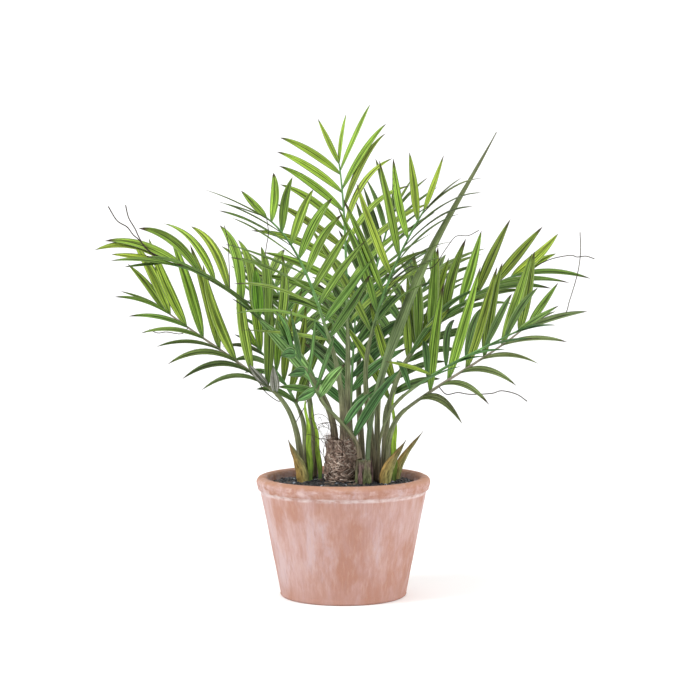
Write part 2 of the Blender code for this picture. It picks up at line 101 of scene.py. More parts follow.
Row = namedtuple(
    "Row", "count sweep tip_sweep rise reach taper width roll sag tip_sag spray tip_spray")
Frond = namedtuple("Frond", "name foot shoulder tip facing arch left right stout", defaults=(1.0,))
BACK_ROW = Row(7, 52, 28, 14, 0.105, 0.80, 0.0115, 0, 0.15, 0.15, "deep", "fresh")
FRONDS = (
    Frond("left_low", (-0.049, 0.013, ON_SOIL), (-0.077, 0.012, 0.230),
          (-0.208, 0.028, 0.327), (0.10, -1.00, 0.15), -0.03,
          Row(7, 36, 30, 74, 0.108, 0.74, 0.0088, 55, 0.55, 0.20, "lower", "fresh"),
          Row(7, 46, 30, 12, 0.142, 0.68, 0.0125, 0, 0.05, 0.05, "fresh", "bright")),
    Frond("left_high", (-0.010, 0.006, ON_STUB), (-0.067, -0.008, 0.289),
          (-0.203, -0.028, 0.381), (0.15, -0.75, 0.65), 0.47,
          Row(5, 18, 12, 60, 0.090, 0.95, 0.0082, 20, 0.20, 0.20, "deep", "fresh"),
          Row(9, 49, 27, 12, 0.136, 0.80, 0.0132, 0, 0.25, 0.42, "fresh", "bright")),
    Frond("front_left", (0.000, -0.001, ON_STUB), (-0.013, -0.030, 0.287),
          (-0.083, -0.100, 0.432), (0.45, -0.85, 0.30), 0.52,
          Row(9, 58, 10, 15, 0.150, 0.72, 0.0090, 66, 0.12, 0.12, "fresh", "green"),
          Row(9, 54, 54, 12, 0.102, 0.70, 0.0125, 0, 0.15, 0.28, "deep", "bright")),
    Frond("top", (0.004, 0.016, ON_STUB), (0.005, 0.032, 0.296),
          (-0.005, 0.060, 0.495), (0.00, -1.00, 0.10), 0.63,
          Row(9, 52, 36, 10, 0.140, 0.68, 0.0096, 0, 0.32, 0.32, "fresh", "sunny"),
          Row(9, 46, 22, 10, 0.150, 0.78, 0.0088, 32, 0.32, 0.32, "fresh", "bright")),
    Frond("centre_right", (0.036, 0.020, ON_SOIL), (0.030, -0.014, 0.293),
          (0.090, -0.042, 0.440), (-0.50, -0.85, 0.15), 0.31,
          Row(7, 44, 38, 10, 0.142, 0.46, 0.0110, 0, 0.03, 0.03, "fresh", "sunny"),
          Row(8, 30, 17, 25, 0.138, 0.82, 0.0095, 68, 0.30, 0.34, "green", "lower")),
    Frond("top_right", (0.022, 0.043, ON_SOIL), (0.022, 0.072, 0.301),
          (0.058, 0.112, 0.440), (-0.20, -1.00, 0.30), 0.10,
          Row(8, 44, 24, 10, 0.104, 0.75, 0.0100, 40, 0.10, 0.10, "teal", "green"),
          Row(8, 44, 20, 10, 0.104, 0.75, 0.0100, 50, 0.15, 0.15, "teal", "green")),
    Frond("right_front", (0.0385, -0.003, ON_SOIL), (0.067, -0.048, 0.233),
          (0.188, -0.122, 0.310), (-0.30, -0.45, 0.90), 0.05,
          Row(6, 96, 58, 15, 0.122, 0.62, 0.0085, 66, 0.42, 0.15, "teal", "green"),
          Row(5, 14, 10, 10, 0.080, 0.85, 0.0095, 20, 0.15, 0.15, "teal", "teal")),
    Frond("right_low", (0.049, -0.002, ON_SOIL), (0.071, -0.006, 0.214),
          (0.210, -0.018, 0.312), (-0.10, -1.00, 0.10), -0.15,
          Row(7, 50, 38, 10, 0.134, 0.74, 0.0122, 0, 0.05, 0.05, "bright", "fresh"),
          Row(6, 31, 26, 72, 0.073, 1.45, 0.0098, 58, 0.80, 0.18, "lower", "lower")),
    Frond("right_high", (0.047, 0.013, ON_SOIL), (0.080, 0.034, 0.277),
          (0.207, 0.040, 0.368), (0.00, -1.00, 0.30), 0.34,
          Row(7, 48, 20, 10, 0.108, 0.62, 0.0120, 0, 0.03, 0.03, "fresh", "bright"),
          Row(6, 26, 22, 60, 0.105, 0.80, 0.0090, 40, 0.30, 0.25, "deep", "fresh")),
    Frond("inner_left", (-0.046, 0.032, ON_SOIL), (-0.0515, 0.045, 0.208),
          (-0.101, 0.055, 0.281), (0.05, -1.00, 0.15), 0.20,
          Row(4, 40, 28, 60, 0.075, 0.85, 0.0095, 50, 0.40, 0.40, "deep", "lower"),
          Row(6, 48, 34, 10, 0.118, 0.85, 0.0112, 0, 0.05, 0.05, "fresh", "bright")),
    Frond("inner_right", (0.056, 0.030, ON_SOIL), (0.051, 0.035, 0.215),
          (0.090, 0.045, 0.290), (-0.10, -1.00, 0.20), 0.20,
          Row(5, 46, 34, 10, 0.112, 0.80, 0.0112, 0, 0.05, 0.05, "bright", "fresh"),
          Row(4, 40, 28, 40, 0.080, 0.85, 0.0100, 30, 0.35, 0.35, "deep", "deep")),
    Frond("back_left", (-0.034, 0.030, ON_SOIL), (-0.048, 0.078, 0.258),
          (-0.094, 0.185, 0.366), (0.45, -0.60, 0.75), 0.25,
          BACK_ROW, BACK_ROW),
    Frond("back", (0.002, 0.048, ON_SOIL), (0.002, 0.092, 0.249),
          (0.010, 0.225, 0.335), (0.05, -0.50, 0.90), 0.30,
          BACK_ROW, BACK_ROW),
    Frond("back_right", (0.040, 0.036, ON_SOIL), (0.050, 0.074, 0.263),
          (0.117, 0.190, 0.368), (-0.35, -0.60, 0.75), 0.25,
          BACK_ROW, BACK_ROW),
    Frond("front", (0.0188, -0.0145, ON_SIDE_STEM), (-0.026, -0.060, 0.232),
          (-0.058, -0.130, 0.296), (0.10, -0.80, 0.60), 0.10,
          Row(3, 52, 20, 10, 0.062, 0.85, 0.0125, 0, 0.10, 0.10, "teal", "teal"),
          Row(4, 66, 12, 10, 0.078, 0.80, 0.0130, 0, 0.15, 0.10, "teal", "deep"), 0.65),
    Frond("centre", (0.012, 0.034, ON_SOIL), (0.008, 0.034, 0.204),
          (0.014, 0.055, 0.320), (0.10, -1.00, 0.10), 0.10,
          Row(7, 50, 28, 10, 0.086, 0.88, 0.0115, 0, 0.12, 0.12, "teal", "deep"),
          Row(7, 48, 26, 10, 0.092, 0.88, 0.0115, 0, 0.12, 0.12, "teal", "deep")),
)

# Leaf colours, dealt to the rows of the fronds. A row blends from its first colour at the shoulder to
# its second at the tip; the dark 'deep' colour and the darker shoulders are partly the leaves' own
# tint and partly painted shade inside the crown
SPRAYS = {
    "sunny": (0.200, 0.325, 0.026),
    "bright": (0.180, 0.300, 0.026),
    "vivid": (0.110, 0.270, 0.018),
    "fresh": (0.130, 0.240, 0.030),
    "deep": (0.076, 0.170, 0.030),
    "teal": (0.060, 0.160, 0.037),
    "pale": (0.180, 0.360, 0.085),
    "green": (0.110, 0.195, 0.032),
    "lower": (0.100, 0.150, 0.040),
    # A grey-silver tint that paints a grazing sheen on green leaves
    "silver_sheen": (0.250, 0.285, 0.190),
}
LEAF_TIP = (0.045, 0.028, 0.014)

# Small leaves out of their row: the line that each starts from and where on it, its
# tip, its width, how far it bows up as a part of its length, and its colour
Lone = namedtuple("Lone", "frond line t tip width bow spray")
LONE_LEAVES = (
    Lone("left_high", "petiole", 0.55, (-0.097, -0.036, 0.320), 0.0215, 0.03, "pale"),
    Lone("left_high", "rib", 0.25, (-0.099, -0.030, 0.378), 0.0155, 0.00, "vivid"),
    Lone("front", "rib", 0.02, (0.002, -0.080, 0.271), 0.0140, 0.06, "pale"),
    Lone("front", "rib", 0.10, (-0.072, -0.080, 0.246), 0.0100, 0.03, "deep"),
    Lone("front", "petiole", 0.50, (0.032, -0.040, 0.237), 0.0100, 0.05, "teal"),
    Lone("front", "petiole", 0.30, (0.064, -0.045, 0.263), 0.0120, 0.06, "teal"),
    Lone("right_front", "rib", 0.28, (0.046, -0.078, 0.274), 0.0105, 0.03, "sunny"),
    # These two leaves are tinted grey-silver as a painted sheen
    Lone("left_low", "rib", 0.08, (-0.108, -0.006, 0.266), 0.0095, -0.04, "silver_sheen"),
    Lone("left_low", "rib", 0.01, (-0.080, -0.002, 0.263), 0.0110, 0.02, "silver_sheen"),
    Lone("right_high", "rib", 0.02, (0.122, 0.018, 0.328), 0.0115, 0.03, "bright"),
    Lone("right_high", "rib", 0.20, (0.110, 0.048, 0.399), 0.0125, 0.00, "sunny"),
    Lone("right_high", "rib", 0.12, (0.123, 0.055, 0.386), 0.0125, 0.00, "bright"),
    Lone("right_high", "rib", 0.06, (0.157, 0.005, 0.340), 0.0070, 0.12, "deep"),
    Lone("right_high", "petiole", 0.92, (0.157, 0.012, 0.352), 0.0070, 0.14, "deep"),
)

SPEAR_FOOT = Vector((0.0278, -0.0145, ON_SIDE_STEM))
SPEAR_WAIST = Vector((0.0785, -0.0270, 0.3500))
SPEAR_TIP = Vector((0.1720, -0.0220, 0.5280))
SPEAR_THICK = (0.0028, 0.0030, 0.0042, 0.0064, 0.0054, 0.0043, 0.0032, 0.0021, 0.0006)

Blade = namedtuple("Blade", "name foot tip bow width thick facing")
SHEATHS = (
    Blade("sheath_left", (-0.046, -0.005, ON_SOIL), (-0.063, -0.012, 0.180),
          0.10, 0.0150, 0.0040, (0.20, -1.00, 0.00)),
    Blade("sheath_right", (0.047, -0.016, ON_SOIL), (0.071, -0.026, 0.181),
          0.16, 0.0150, 0.0040, (-0.20, -1.00, 0.00)),
    Blade("sheath_right_outer", (0.061, 0.020, ON_SOIL), (0.092, 0.014, 0.187),
          0.22, 0.0105, 0.0034, (-0.20, -1.00, 0.00)),
)
YOUNG_LEAVES = (
    Blade("young_leaf_left", (-0.038, 0.004, ON_SOIL), (-0.043, -0.010, 0.231),
          -0.09, 0.0072, 0.0018, (0.10, -1.00, 0.00)),
    Blade("young_leaf_left_back", (-0.0270, 0.016, ON_SOIL), (-0.036, 0.014, 0.219),
          -0.05, 0.0060, 0.0016, (0.10, -1.00, 0.00)),
    Blade("young_leaf_right", (0.0585, 0.006, ON_SOIL), (0.058, 0.012, 0.232),
          -0.05, 0.0075, 0.0018, (-0.10, -1.00, 0.00)),
)
SHEATH_OUTLINE = ((0.0, 0.85), (0.12, 1.0), (0.35, 0.86), (0.65, 0.48), (1.0, 0.05))
YOUNG_OUTLINE = ((0.0, 0.65), (0.2, 1.0), (0.5, 0.82), (0.8, 0.46), (1.0, 0.08))


def mix(start, end, t):
    return start + (end - start) * t


def graded(table, t):
    """The value at t in a table of (part, value) steps, smoothed between them."""
    for (low, one), (high, two) in zip(table, table[1:]):
        if t <= high:
            part = (t - low) / (high - low)
            return mix(one, two, part * part * (3 - 2 * part))
    return table[-1][1]


def hermite(start, start_pull, end, end_pull, t):
    return (
        (2 * t**3 - 3 * t**2 + 1) * start
        + (t**3 - 2 * t**2 + t) * start_pull
        + (3 * t**2 - 2 * t**3) * end
        + (t**3 - t**2) * end_pull
    )


def hermite_slope(start, start_pull, end, end_pull, t):
    return (
        (6 * t**2 - 6 * t) * (start - end)
        + (3 * t**2 - 4 * t + 1) * start_pull
        + (3 * t**2 - 2 * t) * end_pull
    )


class Axis:
    """A frond's centre line: its petiole to the shoulder, then its rib to the tip."""

    def __init__(self, frond):
        self.foot = Vector(frond.foot)
        self.shoulder = Vector(frond.shoulder)
        self.tip = Vector(frond.tip)
        whole = self.tip - self.foot
        rib = self.tip - self.shoulder
        climb = (whole.normalized() + rib.normalized() + frond.arch * UP).normalized()
        droop = (rib.normalized() - frond.arch * UP).normalized()
        petiole = (self.shoulder - self.foot).length
        self.petiole = (self.foot, UP * petiole, self.shoulder, climb * petiole)
        self.rib = (self.shoulder, climb * rib.length, self.tip, droop * rib.length)
        self.facing = Vector(frond.facing)

    def petiole_at(self, t):
        return hermite(*self.petiole, t), hermite_slope(*self.petiole, t).normalized()

    def rib_at(self, t):
        return hermite(*self.rib, t), hermite_slope(*self.rib, t).normalized()

    def frame(self, t):
        """The rib's place, direction, side and upper face at t."""
        place, along = self.rib_at(t)
        side = along.cross(self.facing).normalized()
        return place, along, side, side.cross(along).normalized()


Leaflet = namedtuple("Leaflet", "t hand sweep rise length width roll sag")


def leaflets_of(frond, number):
    """The frond's leaflets, row by row from shoulder to tip, before any is turned aside."""
    dice = random.Random(FIRST_SEED + number)
    found = []
    for hand, row in ((-1, frond.left), (1, frond.right)):
        for i in range(row.count):
            t = (i + 0.5 + STAGGER * hand) / row.count
            length = row.reach * (1 - (1 - row.taper) * t * t)
            sweep = mix(row.sweep, row.tip_sweep, t) + dice.uniform(-SWEEP_SPREAD, SWEEP_SPREAD)
            sag = mix(row.sag, row.tip_sag, t)
            found.append(varied(dice, t, hand, row, sweep, row.rise, length, row.width, sag))
        found.append(varied(
            dice, 1.0, hand, row, END_SWEEP, END_RISE * row.rise, END_LENGTH * row.reach,
            END_WIDTH * row.width, END_SAG * row.tip_sag,
        ))
    return found


def varied(dice, t, hand, row, sweep, rise, length, width, sag):
    """A leaflet whose length and roll differ a little from its row's."""
    length *= dice.uniform(1 - LENGTH_SPREAD, 1 + LENGTH_SPREAD)
    roll = row.roll + dice.uniform(-ROLL_SPREAD, ROLL_SPREAD)
    return Leaflet(t, hand, sweep, rise, length, width, roll, sag)


class Course:
    """The line of one leaflet: where it starts, where it heads, and its upper face."""

    def __init__(self, axis, leaflet, turn, short):
        self.place, along, side, face = axis.frame(leaflet.t)
        rise = math.radians(leaflet.rise + turn)
        sweep = math.radians(leaflet.sweep)
        outward = side * (leaflet.hand * math.cos(rise)) + face * math.sin(rise)
        self.heading = (along * math.cos(sweep) + outward * math.sin(sweep)).normalized()
        self.length = leaflet.length * short
        self.sag = leaflet.sag * self.length
        roll = Quaternion(self.heading, math.radians(-leaflet.hand * leaflet.roll))
        self.flat = roll @ self.heading.cross(face).normalized()
        self.above = self.flat.cross(self.heading).normalized()

    def at(self, t):
        return self.place + self.heading * (t * self.length) - UP * (self.sag * t**2)


def settled(axis, leaflet, points):
    """The course that the solid's leaflet took: its tip is a point of the solid."""
    for short in SHORTER:
        for turn in TURNS:
            course = Course(axis, leaflet, turn, short)
            if points.find(course.at(1))[2] < 0.0004:
                return course
    return None


def points_of(node):
    """The points of a node's mesh, for finding the nearest."""
    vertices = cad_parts[node].data.vertices
    tree = KDTree(len(vertices))
    for vertex in vertices:
        tree.insert(vertex.co, vertex.index)
    tree.balance()
    return tree


class Lines:
    """Lines to be swept: each point has a half width, an upper face and a colour."""

    def __init__(self):
        self.points, self.edges, self.halves = [], [], []
        self.faces, self.tints, self.places = [], [], []

    def add(self, points, halves, faces, tint, roll=0.0):
        """One line from its points. tint is one colour, or one for each point."""
        first = len(self.points)
        last = len(points) - 1
        self.points += [tuple(point) for point in points]
        self.edges += [(first + i, first + i + 1) for i in range(last)]
        self.halves += list(halves)
        self.faces += [tuple(face) for face in faces]
        tints = tint if isinstance(tint, list) else [tint] * (last + 1)
        self.tints += [(*colour, 1.0) for colour in tints]
        self.places += [(i / last, roll, 0.0) for i in range(last + 1)]

    def mesh(self, name):
        made = bpy.data.meshes.new(name)
        made.from_pydata(self.points, self.edges, [])
        for label, kind, key, values in (
                ("half", "FLOAT", "value", self.halves),
                ("upper", "FLOAT_VECTOR", "vector", self.faces),
                ("tint", "FLOAT_COLOR", "color", self.tints),
                ("place", "FLOAT_VECTOR", "vector", self.places)):
            layer = made.attributes.new(label, kind, "POINT")
            flat = values if kind == "FLOAT" else [part for value in values for part in value]
            layer.data.foreach_set(key, flat)
        return made


def section(name, points, closed=True):
    """The outline that is swept along lines, as an edge mesh that isn't in the scene."""
    mesh = bpy.data.meshes.new(name)
    count = len(points)
    edges = [(i, (i + 1) % count) for i in range(count if closed else count - 1)]
    mesh.from_pydata([(y, x, 0) for x, y in points], edges, [])
    layer = mesh.attributes.new("across", "FLOAT", "POINT")
    layer.data.foreach_set("value", [x for x, y in points])
    return bpy.data.objects.new(name, mesh)


def round_section(name, count):
    steps = [math.tau * i / count for i in range(count)]
    return section(name, [(math.sin(a), math.cos(a)) for a in steps])


def sweep_tree():
    """The node tree that sweeps a section along every line of a mesh."""
    tree = bpy.data.node_groups.new("swept along lines", "GeometryNodeTree")
    face = tree.interface
    face.new_socket("Lines", in_out="INPUT", socket_type="NodeSocketGeometry")
    face.new_socket("Section", in_out="INPUT", socket_type="NodeSocketObject")
    face.new_socket("Finish", in_out="INPUT", socket_type="NodeSocketMaterial")
    face.new_socket("Mesh", in_out="OUTPUT", socket_type="NodeSocketGeometry")
    given = tree.nodes.new("NodeGroupInput")
    result = tree.nodes.new("NodeGroupOutput")
    link = tree.links.new

    curves = tree.nodes.new("GeometryNodeMeshToCurve")
    link(given.outputs["Lines"], curves.inputs["Mesh"])
    upper = tree.nodes.new("GeometryNodeInputNamedAttribute")
    upper.data_type = "FLOAT_VECTOR"
    upper.inputs["Name"].default_value = "upper"
    normals = tree.nodes.new("GeometryNodeSetCurveNormal")
    normals.mode = "FREE"
    link(curves.outputs["Curve"], normals.inputs["Curve"])
    link(upper.outputs["Attribute"], normals.inputs["Normal"])

    shape = tree.nodes.new("GeometryNodeObjectInfo")
    link(given.outputs["Section"], shape.inputs["Object"])
    outline = tree.nodes.new("GeometryNodeMeshToCurve")
    link(shape.outputs["Geometry"], outline.inputs["Mesh"])
    half = tree.nodes.new("GeometryNodeInputNamedAttribute")
    half.data_type = "FLOAT"
    half.inputs["Name"].default_value = "half"
    swept = tree.nodes.new("GeometryNodeCurveToMesh")
    swept.inputs["Fill Caps"].default_value = True
    link(normals.outputs["Curve"], swept.inputs["Curve"])
    link(outline.outputs["Curve"], swept.inputs["Profile Curve"])
    link(half.outputs["Attribute"], swept.inputs["Scale"])

    smooth = tree.nodes.new("GeometryNodeSetShadeSmooth")
    link(swept.outputs["Mesh"], smooth.inputs["Geometry"])
    real = tree.nodes.new("GeometryNodeRealizeInstances")
    link(smooth.outputs["Geometry"], real.inputs["Geometry"])
    finish = tree.nodes.new("GeometryNodeSetMaterial")
    link(real.outputs["Geometry"], finish.inputs["Geometry"])
    link(given.outputs["Finish"], finish.inputs["Material"])
    link(finish.outputs["Geometry"], result.inputs["Mesh"])
    return tree


def shown(name, mesh):
    obj = bpy.data.objects.new(name, mesh)
    bpy.context.scene.collection.objects.link(obj)
    return obj


def settle_nodes(obj):
    """Turns an object with a node tree into a plain mesh, with its faces outward."""
    bpy.context.view_layer.update()
    graph = bpy.context.evaluated_depsgraph_get()
    mesh = bpy.data.meshes.new_from_object(obj.evaluated_get(graph))
    obj.modifiers.clear()
    obj.data = mesh
    bm = bmesh.new()
    bm.from_mesh(mesh)
    bmesh.ops.recalc_face_normals(bm, faces=bm.faces)
    bm.to_mesh(mesh)
    bm.free()
    return obj


def with_tree(name, mesh, tree, **values):
    """A plain mesh made by a node tree from this mesh and these named inputs."""
    obj = shown(name, mesh)
    modifier = obj.modifiers.new("nodes", "NODES")
    modifier.node_group = tree
    for item in tree.interface.items_tree:
        if item.name in values:
            modifier[item.identifier] = values[item.name]
    return settle_nodes(obj)


def piece(obj, slot, *nodes):
    """Rides the piece on the frame in place of these nodes."""
    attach(obj, "root")
    if nodes:
        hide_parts(*nodes)
    return obj


# Materials

def add(tree, kind, inputs=None, **settings):
    """A node with these settings; an input is a value or another node's socket."""
    made = tree.nodes.new(kind)
    for key, value in settings.items():
        setattr(made, key, value)
    for key, value in (inputs or {}).items():
        if isinstance(value, bpy.types.NodeSocket):
            tree.links.new(value, made.inputs[key])
        else:
            made.inputs[key].default_value = value
    return made


def maths(tree, operation, one, two=0.0):
    return add(tree, "ShaderNodeMath", {0: one, 1: two}, operation=operation).outputs[0]


def blend_of(tree, factor, one, two, mode="MIX"):
    """A colour between two, by a factor; sockets or values."""
    made = add(tree, "ShaderNodeMix", data_type="RGBA", blend_type=mode)
    for index, value in ((0, factor), (6, one), (7, two)):
        if isinstance(value, bpy.types.NodeSocket):
            tree.links.new(value, made.inputs[index])
        elif index == 0:
            made.inputs[index].default_value = value
        else:
            made.inputs[index].default_value = (*value, 1.0)
    return made.outputs[2]


def ranged(tree, value, low, high, to_low=0.0, to_high=1.0):
    made = add(tree, "ShaderNodeMapRange", {
        "Value": value, "From Min": low, "From Max": high,
        "To Min": to_low, "To Max": to_high,
    })
    return made.outputs["Result"]


def shader_group(name, inputs, outputs):
    """An empty group with these sockets, and its input and output nodes."""
    tree = bpy.data.node_groups.new(name, "ShaderNodeTree")
    kinds = {float: "NodeSocketFloat", tuple: "NodeSocketVector"}
    for label, value in inputs.items():
        socket = tree.interface.new_socket(label, in_out="INPUT", socket_type=kinds[type(value)])
        socket.default_value = value
    for label in outputs:
        tree.interface.new_socket(label, in_out="OUTPUT", socket_type="NodeSocketFloat")
    return tree, tree.nodes.new("NodeGroupInput").outputs, tree.nodes.new("NodeGroupOutput").inputs


def mottle_group():
    """Soft patches and fine grain over a surface."""
    tree, given, result = shader_group(
        "mottle", {"Vector": (0.0, 0.0, 0.0), "Patch Size": 0.02, "Grain Size": 0.0008},
        ("Patches", "Grain"))
    for label, size, detail in (("Patches", "Patch Size", 5.0), ("Grain", "Grain Size", 3.0)):
        rate = maths(tree, "DIVIDE", 1.0, given[size])
        noise_node = add(tree, "ShaderNodeTexNoise", {
            "Vector": given["Vector"], "Scale": rate, "Detail": detail, "Roughness": 0.6})
        tree.links.new(ranged(tree, noise_node.outputs["Fac"], 0.3, 0.7), result[label])
    return tree


def vein_group():
    """Lengthwise stripes, the crease and the pale margin, from the place across the blade; the leaf
    paints shade in the crease, and its margin is partly a painted highlight.
    """
    tree, given, result = shader_group(
        "veins", {"Across": 0.0, "Roll": 0.0, "Count": 2.0}, ("Veins", "Crease", "Margin"))
    aside = maths(tree, "ABSOLUTE", given["Across"])
    turns = maths(tree, "MULTIPLY", given["Across"], given["Count"])
    turns = maths(tree, "MULTIPLY", maths(tree, "ADD", turns, given["Roll"]), math.tau)
    tree.links.new(ranged(tree, maths(tree, "SINE", turns), -0.8, 0.8), result["Veins"])
    tree.links.new(ranged(tree, aside, 0.16, 0.04), result["Crease"])
    tree.links.new(ranged(tree, aside, 0.80, 0.98), result["Margin"])
    return tree


def streak_group():
    """Long irregular streaks that follow a blade or a stalk."""
    tree, given, result = shader_group(
        "streaks",
        {"Across": 0.0, "Along": 0.0, "Roll": 0.0, "Across Rate": 3.4, "Along Rate": 2.0},
        ("Streaks",))
    spot = add(tree, "ShaderNodeCombineXYZ", {
        "X": maths(tree, "MULTIPLY", given["Across"], given["Across Rate"]),
        "Y": maths(tree, "MULTIPLY", given["Along"], given["Along Rate"]),
        "Z": maths(tree, "MULTIPLY", given["Roll"], 37.0)})
    noise_node = add(tree, "ShaderNodeTexNoise", {
        "Vector": spot.outputs["Vector"], "Scale": 1.0, "Detail": 3.0, "Roughness": 0.65})
    tree.links.new(ranged(tree, noise_node.outputs["Fac"], 0.35, 0.65), result["Streaks"])
    return tree


def material(name, roughness, specular=0.5):
    made = bpy.data.materials.new(name)
    made.use_nodes = True
    tree = made.node_tree
    surface = tree.nodes["Principled BSDF"]
    surface.inputs["Roughness"].default_value = roughness
    surface.inputs["Specular IOR Level"].default_value = specular
    return made, tree, surface


def in_group(tree, group, inputs):
    made = add(tree, "ShaderNodeGroup", node_tree=group)
    for key, value in inputs.items():
        if isinstance(value, bpy.types.NodeSocket):
            tree.links.new(value, made.inputs[key])
        else:
            made.inputs[key].default_value = value
    return made.outputs


def bumped(tree, surface, height, distance, strength=1.0):
    bump = add(tree, "ShaderNodeBump", {
        "Height": height, "Distance": distance, "Strength": strength})
    tree.links.new(bump.outputs["Normal"], surface.inputs["Normal"])


def here(tree):
    return add(tree, "ShaderNodeTexCoord").outputs["Object"]


def named(tree, label):
    return add(tree, "ShaderNodeAttribute", attribute_name=label)


def leaf_material(name, groups, roughness, count, flush):
    """Striped leaves: the tint of the line, a rusty streak inside, brown at the end, with stripes and
    a pale margin that are partly painted highlights, and painted shade in the crease and towards the
    foot.
    """
    made, tree, surface = material(name, roughness, 0.20)
    place = add(tree, "ShaderNodeSeparateXYZ", {"Vector": named(tree, "place").outputs["Vector"]})
    along, roll = place.outputs["X"], place.outputs["Y"]
    across = named(tree, "across").outputs["Fac"]
    lines = in_group(tree, groups["veins"], {"Across": across, "Roll": roll, "Count": count})
    streaks = in_group(tree, groups["streaks"], {
        "Across": across, "Along": along, "Roll": roll})["Streaks"]
    spots = in_group(tree, groups["mottle"], {"Vector": here(tree), "Patch Size": 0.009})
    tint = named(tree, "tint").outputs["Color"]
    # The light and dark stripe tones are the leaf's own veins and streaks, made far brighter and
    # darker than its tint as painted highlights and painted shade
    light = blend_of(tree, 1.0, tint, (2.35, 2.00, 2.80), "MULTIPLY")
    dark = blend_of(tree, 1.0, tint, (0.13, 0.21, 0.09), "MULTIPLY")
    rust = blend_of(tree, 1.0, tint, (0.36, 0.24, 0.34), "MULTIPLY")
    striped = maths(tree, "ADD", maths(tree, "MULTIPLY", lines["Veins"], 0.5),
                    maths(tree, "MULTIPLY", streaks, 0.5))
    base = blend_of(tree, striped, dark, light)
    base = blend_of(tree, ranged(tree, spots["Patches"], 0.2, 1.0, 0.0, 0.3), base, tint)
    middle = maths(tree, "MULTIPLY", maths(tree, "SUBTRACT", roll, 0.5), 0.5)
    aside = maths(tree, "ABSOLUTE", maths(tree, "SUBTRACT", across, middle))
    inside = maths(tree, "MULTIPLY", ranged(tree, aside, 0.60, 0.15),
                   ranged(tree, streaks, 0.80, 0.30))
    inside = maths(tree, "MULTIPLY", inside, ranged(tree, along, 0.10, 0.55, 0.0, flush))
    base = blend_of(tree, inside, base, rust)
    # Painted shade: the crease of the fold darkened to the dark stripe tone
    base = blend_of(tree, ranged(tree, lines["Crease"], 0.0, 1.0, 0.0, 0.85), base, dark)
    # The pale margin along the edges, partly the leaf's own pale edge and partly a painted highlight
    base = blend_of(tree, ranged(tree, lines["Margin"], 0.0, 1.0, 0.0, 0.65), base,
                    (0.430, 0.520, 0.270))
    # Painted shade: each leaflet darker towards its foot, in the crown
    base = blend_of(tree, ranged(tree, along, 0.15, 0.0, 0.0, 0.6), base, (0.035, 0.095, 0.035))
    end = maths(tree, "ADD", along, maths(tree, "MULTIPLY", roll, 0.10))
    base = blend_of(tree, ranged(tree, end, 0.92, 1.02), base, LEAF_TIP)
    tree.links.new(base, surface.inputs["Base Color"])
    rough = ranged(tree, spots["Grain"], 0.0, 1.0, roughness - 0.06, roughness + 0.1)
    tree.links.new(rough, surface.inputs["Roughness"])
    deep = maths(tree, "SUBTRACT", lines["Veins"], lines["Crease"])
    bumped(tree, surface, deep, 0.0003, 0.6)
    return made


def stem_material(name, groups, roughness, sides=((1.0, 1.0, 1.0), (1.0, 1.0, 1.0))):
    """Olive stalks: the tint of the line, streaked lengthwise, the pale streaks partly painted
    highlights; sides tint its two edges.
    """
    made, tree, surface = material(name, roughness, 0.25)
    place = add(tree, "ShaderNodeSeparateXYZ", {"Vector": named(tree, "place").outputs["Vector"]})
    across = named(tree, "across").outputs["Fac"]
    streaks = in_group(tree, groups["streaks"], {
        "Across": across, "Along": place.outputs["X"], "Roll": place.outputs["Y"],
        "Across Rate": 3.2, "Along Rate": 5.0})["Streaks"]
    spots = in_group(tree, groups["mottle"], {
        "Vector": here(tree), "Patch Size": 0.007, "Grain Size": 0.0006})
    tint = named(tree, "tint").outputs["Color"]
    edges = blend_of(tree, ranged(tree, across, -0.8, 0.8), *sides)
    tint = blend_of(tree, 1.0, tint, edges, "MULTIPLY")
    # The light streak tone is far brighter than the stalk's own colour: partly painted highlights
    # along the stalks
    dark = blend_of(tree, 1.0, tint, (0.40, 0.42, 0.36), "MULTIPLY")
    light = blend_of(tree, 1.0, tint, (2.95, 2.85, 3.05), "MULTIPLY")
    base = blend_of(tree, streaks, dark, light)
    base = blend_of(tree, ranged(tree, spots["Patches"], 0.0, 1.0, 0.1, 0.6), base, tint)
    tree.links.new(base, surface.inputs["Base Color"])
    rough = ranged(tree, spots["Grain"], 0.0, 1.0, roughness - 0.08, roughness + 0.12)
    tree.links.new(rough, surface.inputs["Roughness"])
    bumped(tree, surface, streaks, 0.0003, 0.5)
    return made


def fibre_material(groups):
    made, tree, surface = material("palm fibre", 0.9, 0.15)
    spots = in_group(tree, groups["mottle"], {"Vector": here(tree), "Patch Size": 0.006})
    tint = named(tree, "tint").outputs["Color"]
    dark = blend_of(tree, 1.0, tint, (0.72, 0.68, 0.66), "MULTIPLY")
    tree.links.new(blend_of(tree, spots["Patches"], dark, tint), surface.inputs["Base Color"])
    bumped(tree, surface, spots["Grain"], 0.0003)
    return made


def soil_material(name, groups, low, high, roughness):
    """Crumbs and ground of one colour range, as glossy as their roughness."""
    made, tree, surface = material(name, roughness, 0.5)
    spots = in_group(tree, groups["mottle"], {
        "Vector": here(tree), "Patch Size": 0.003, "Grain Size": 0.0009})
    base = blend_of(tree, ranged(tree, spots["Patches"], 0.30, 1.0), low, high)
    tree.links.new(base, surface.inputs["Base Color"])
    bumped(tree, surface, spots["Grain"], 0.0006)
    return made


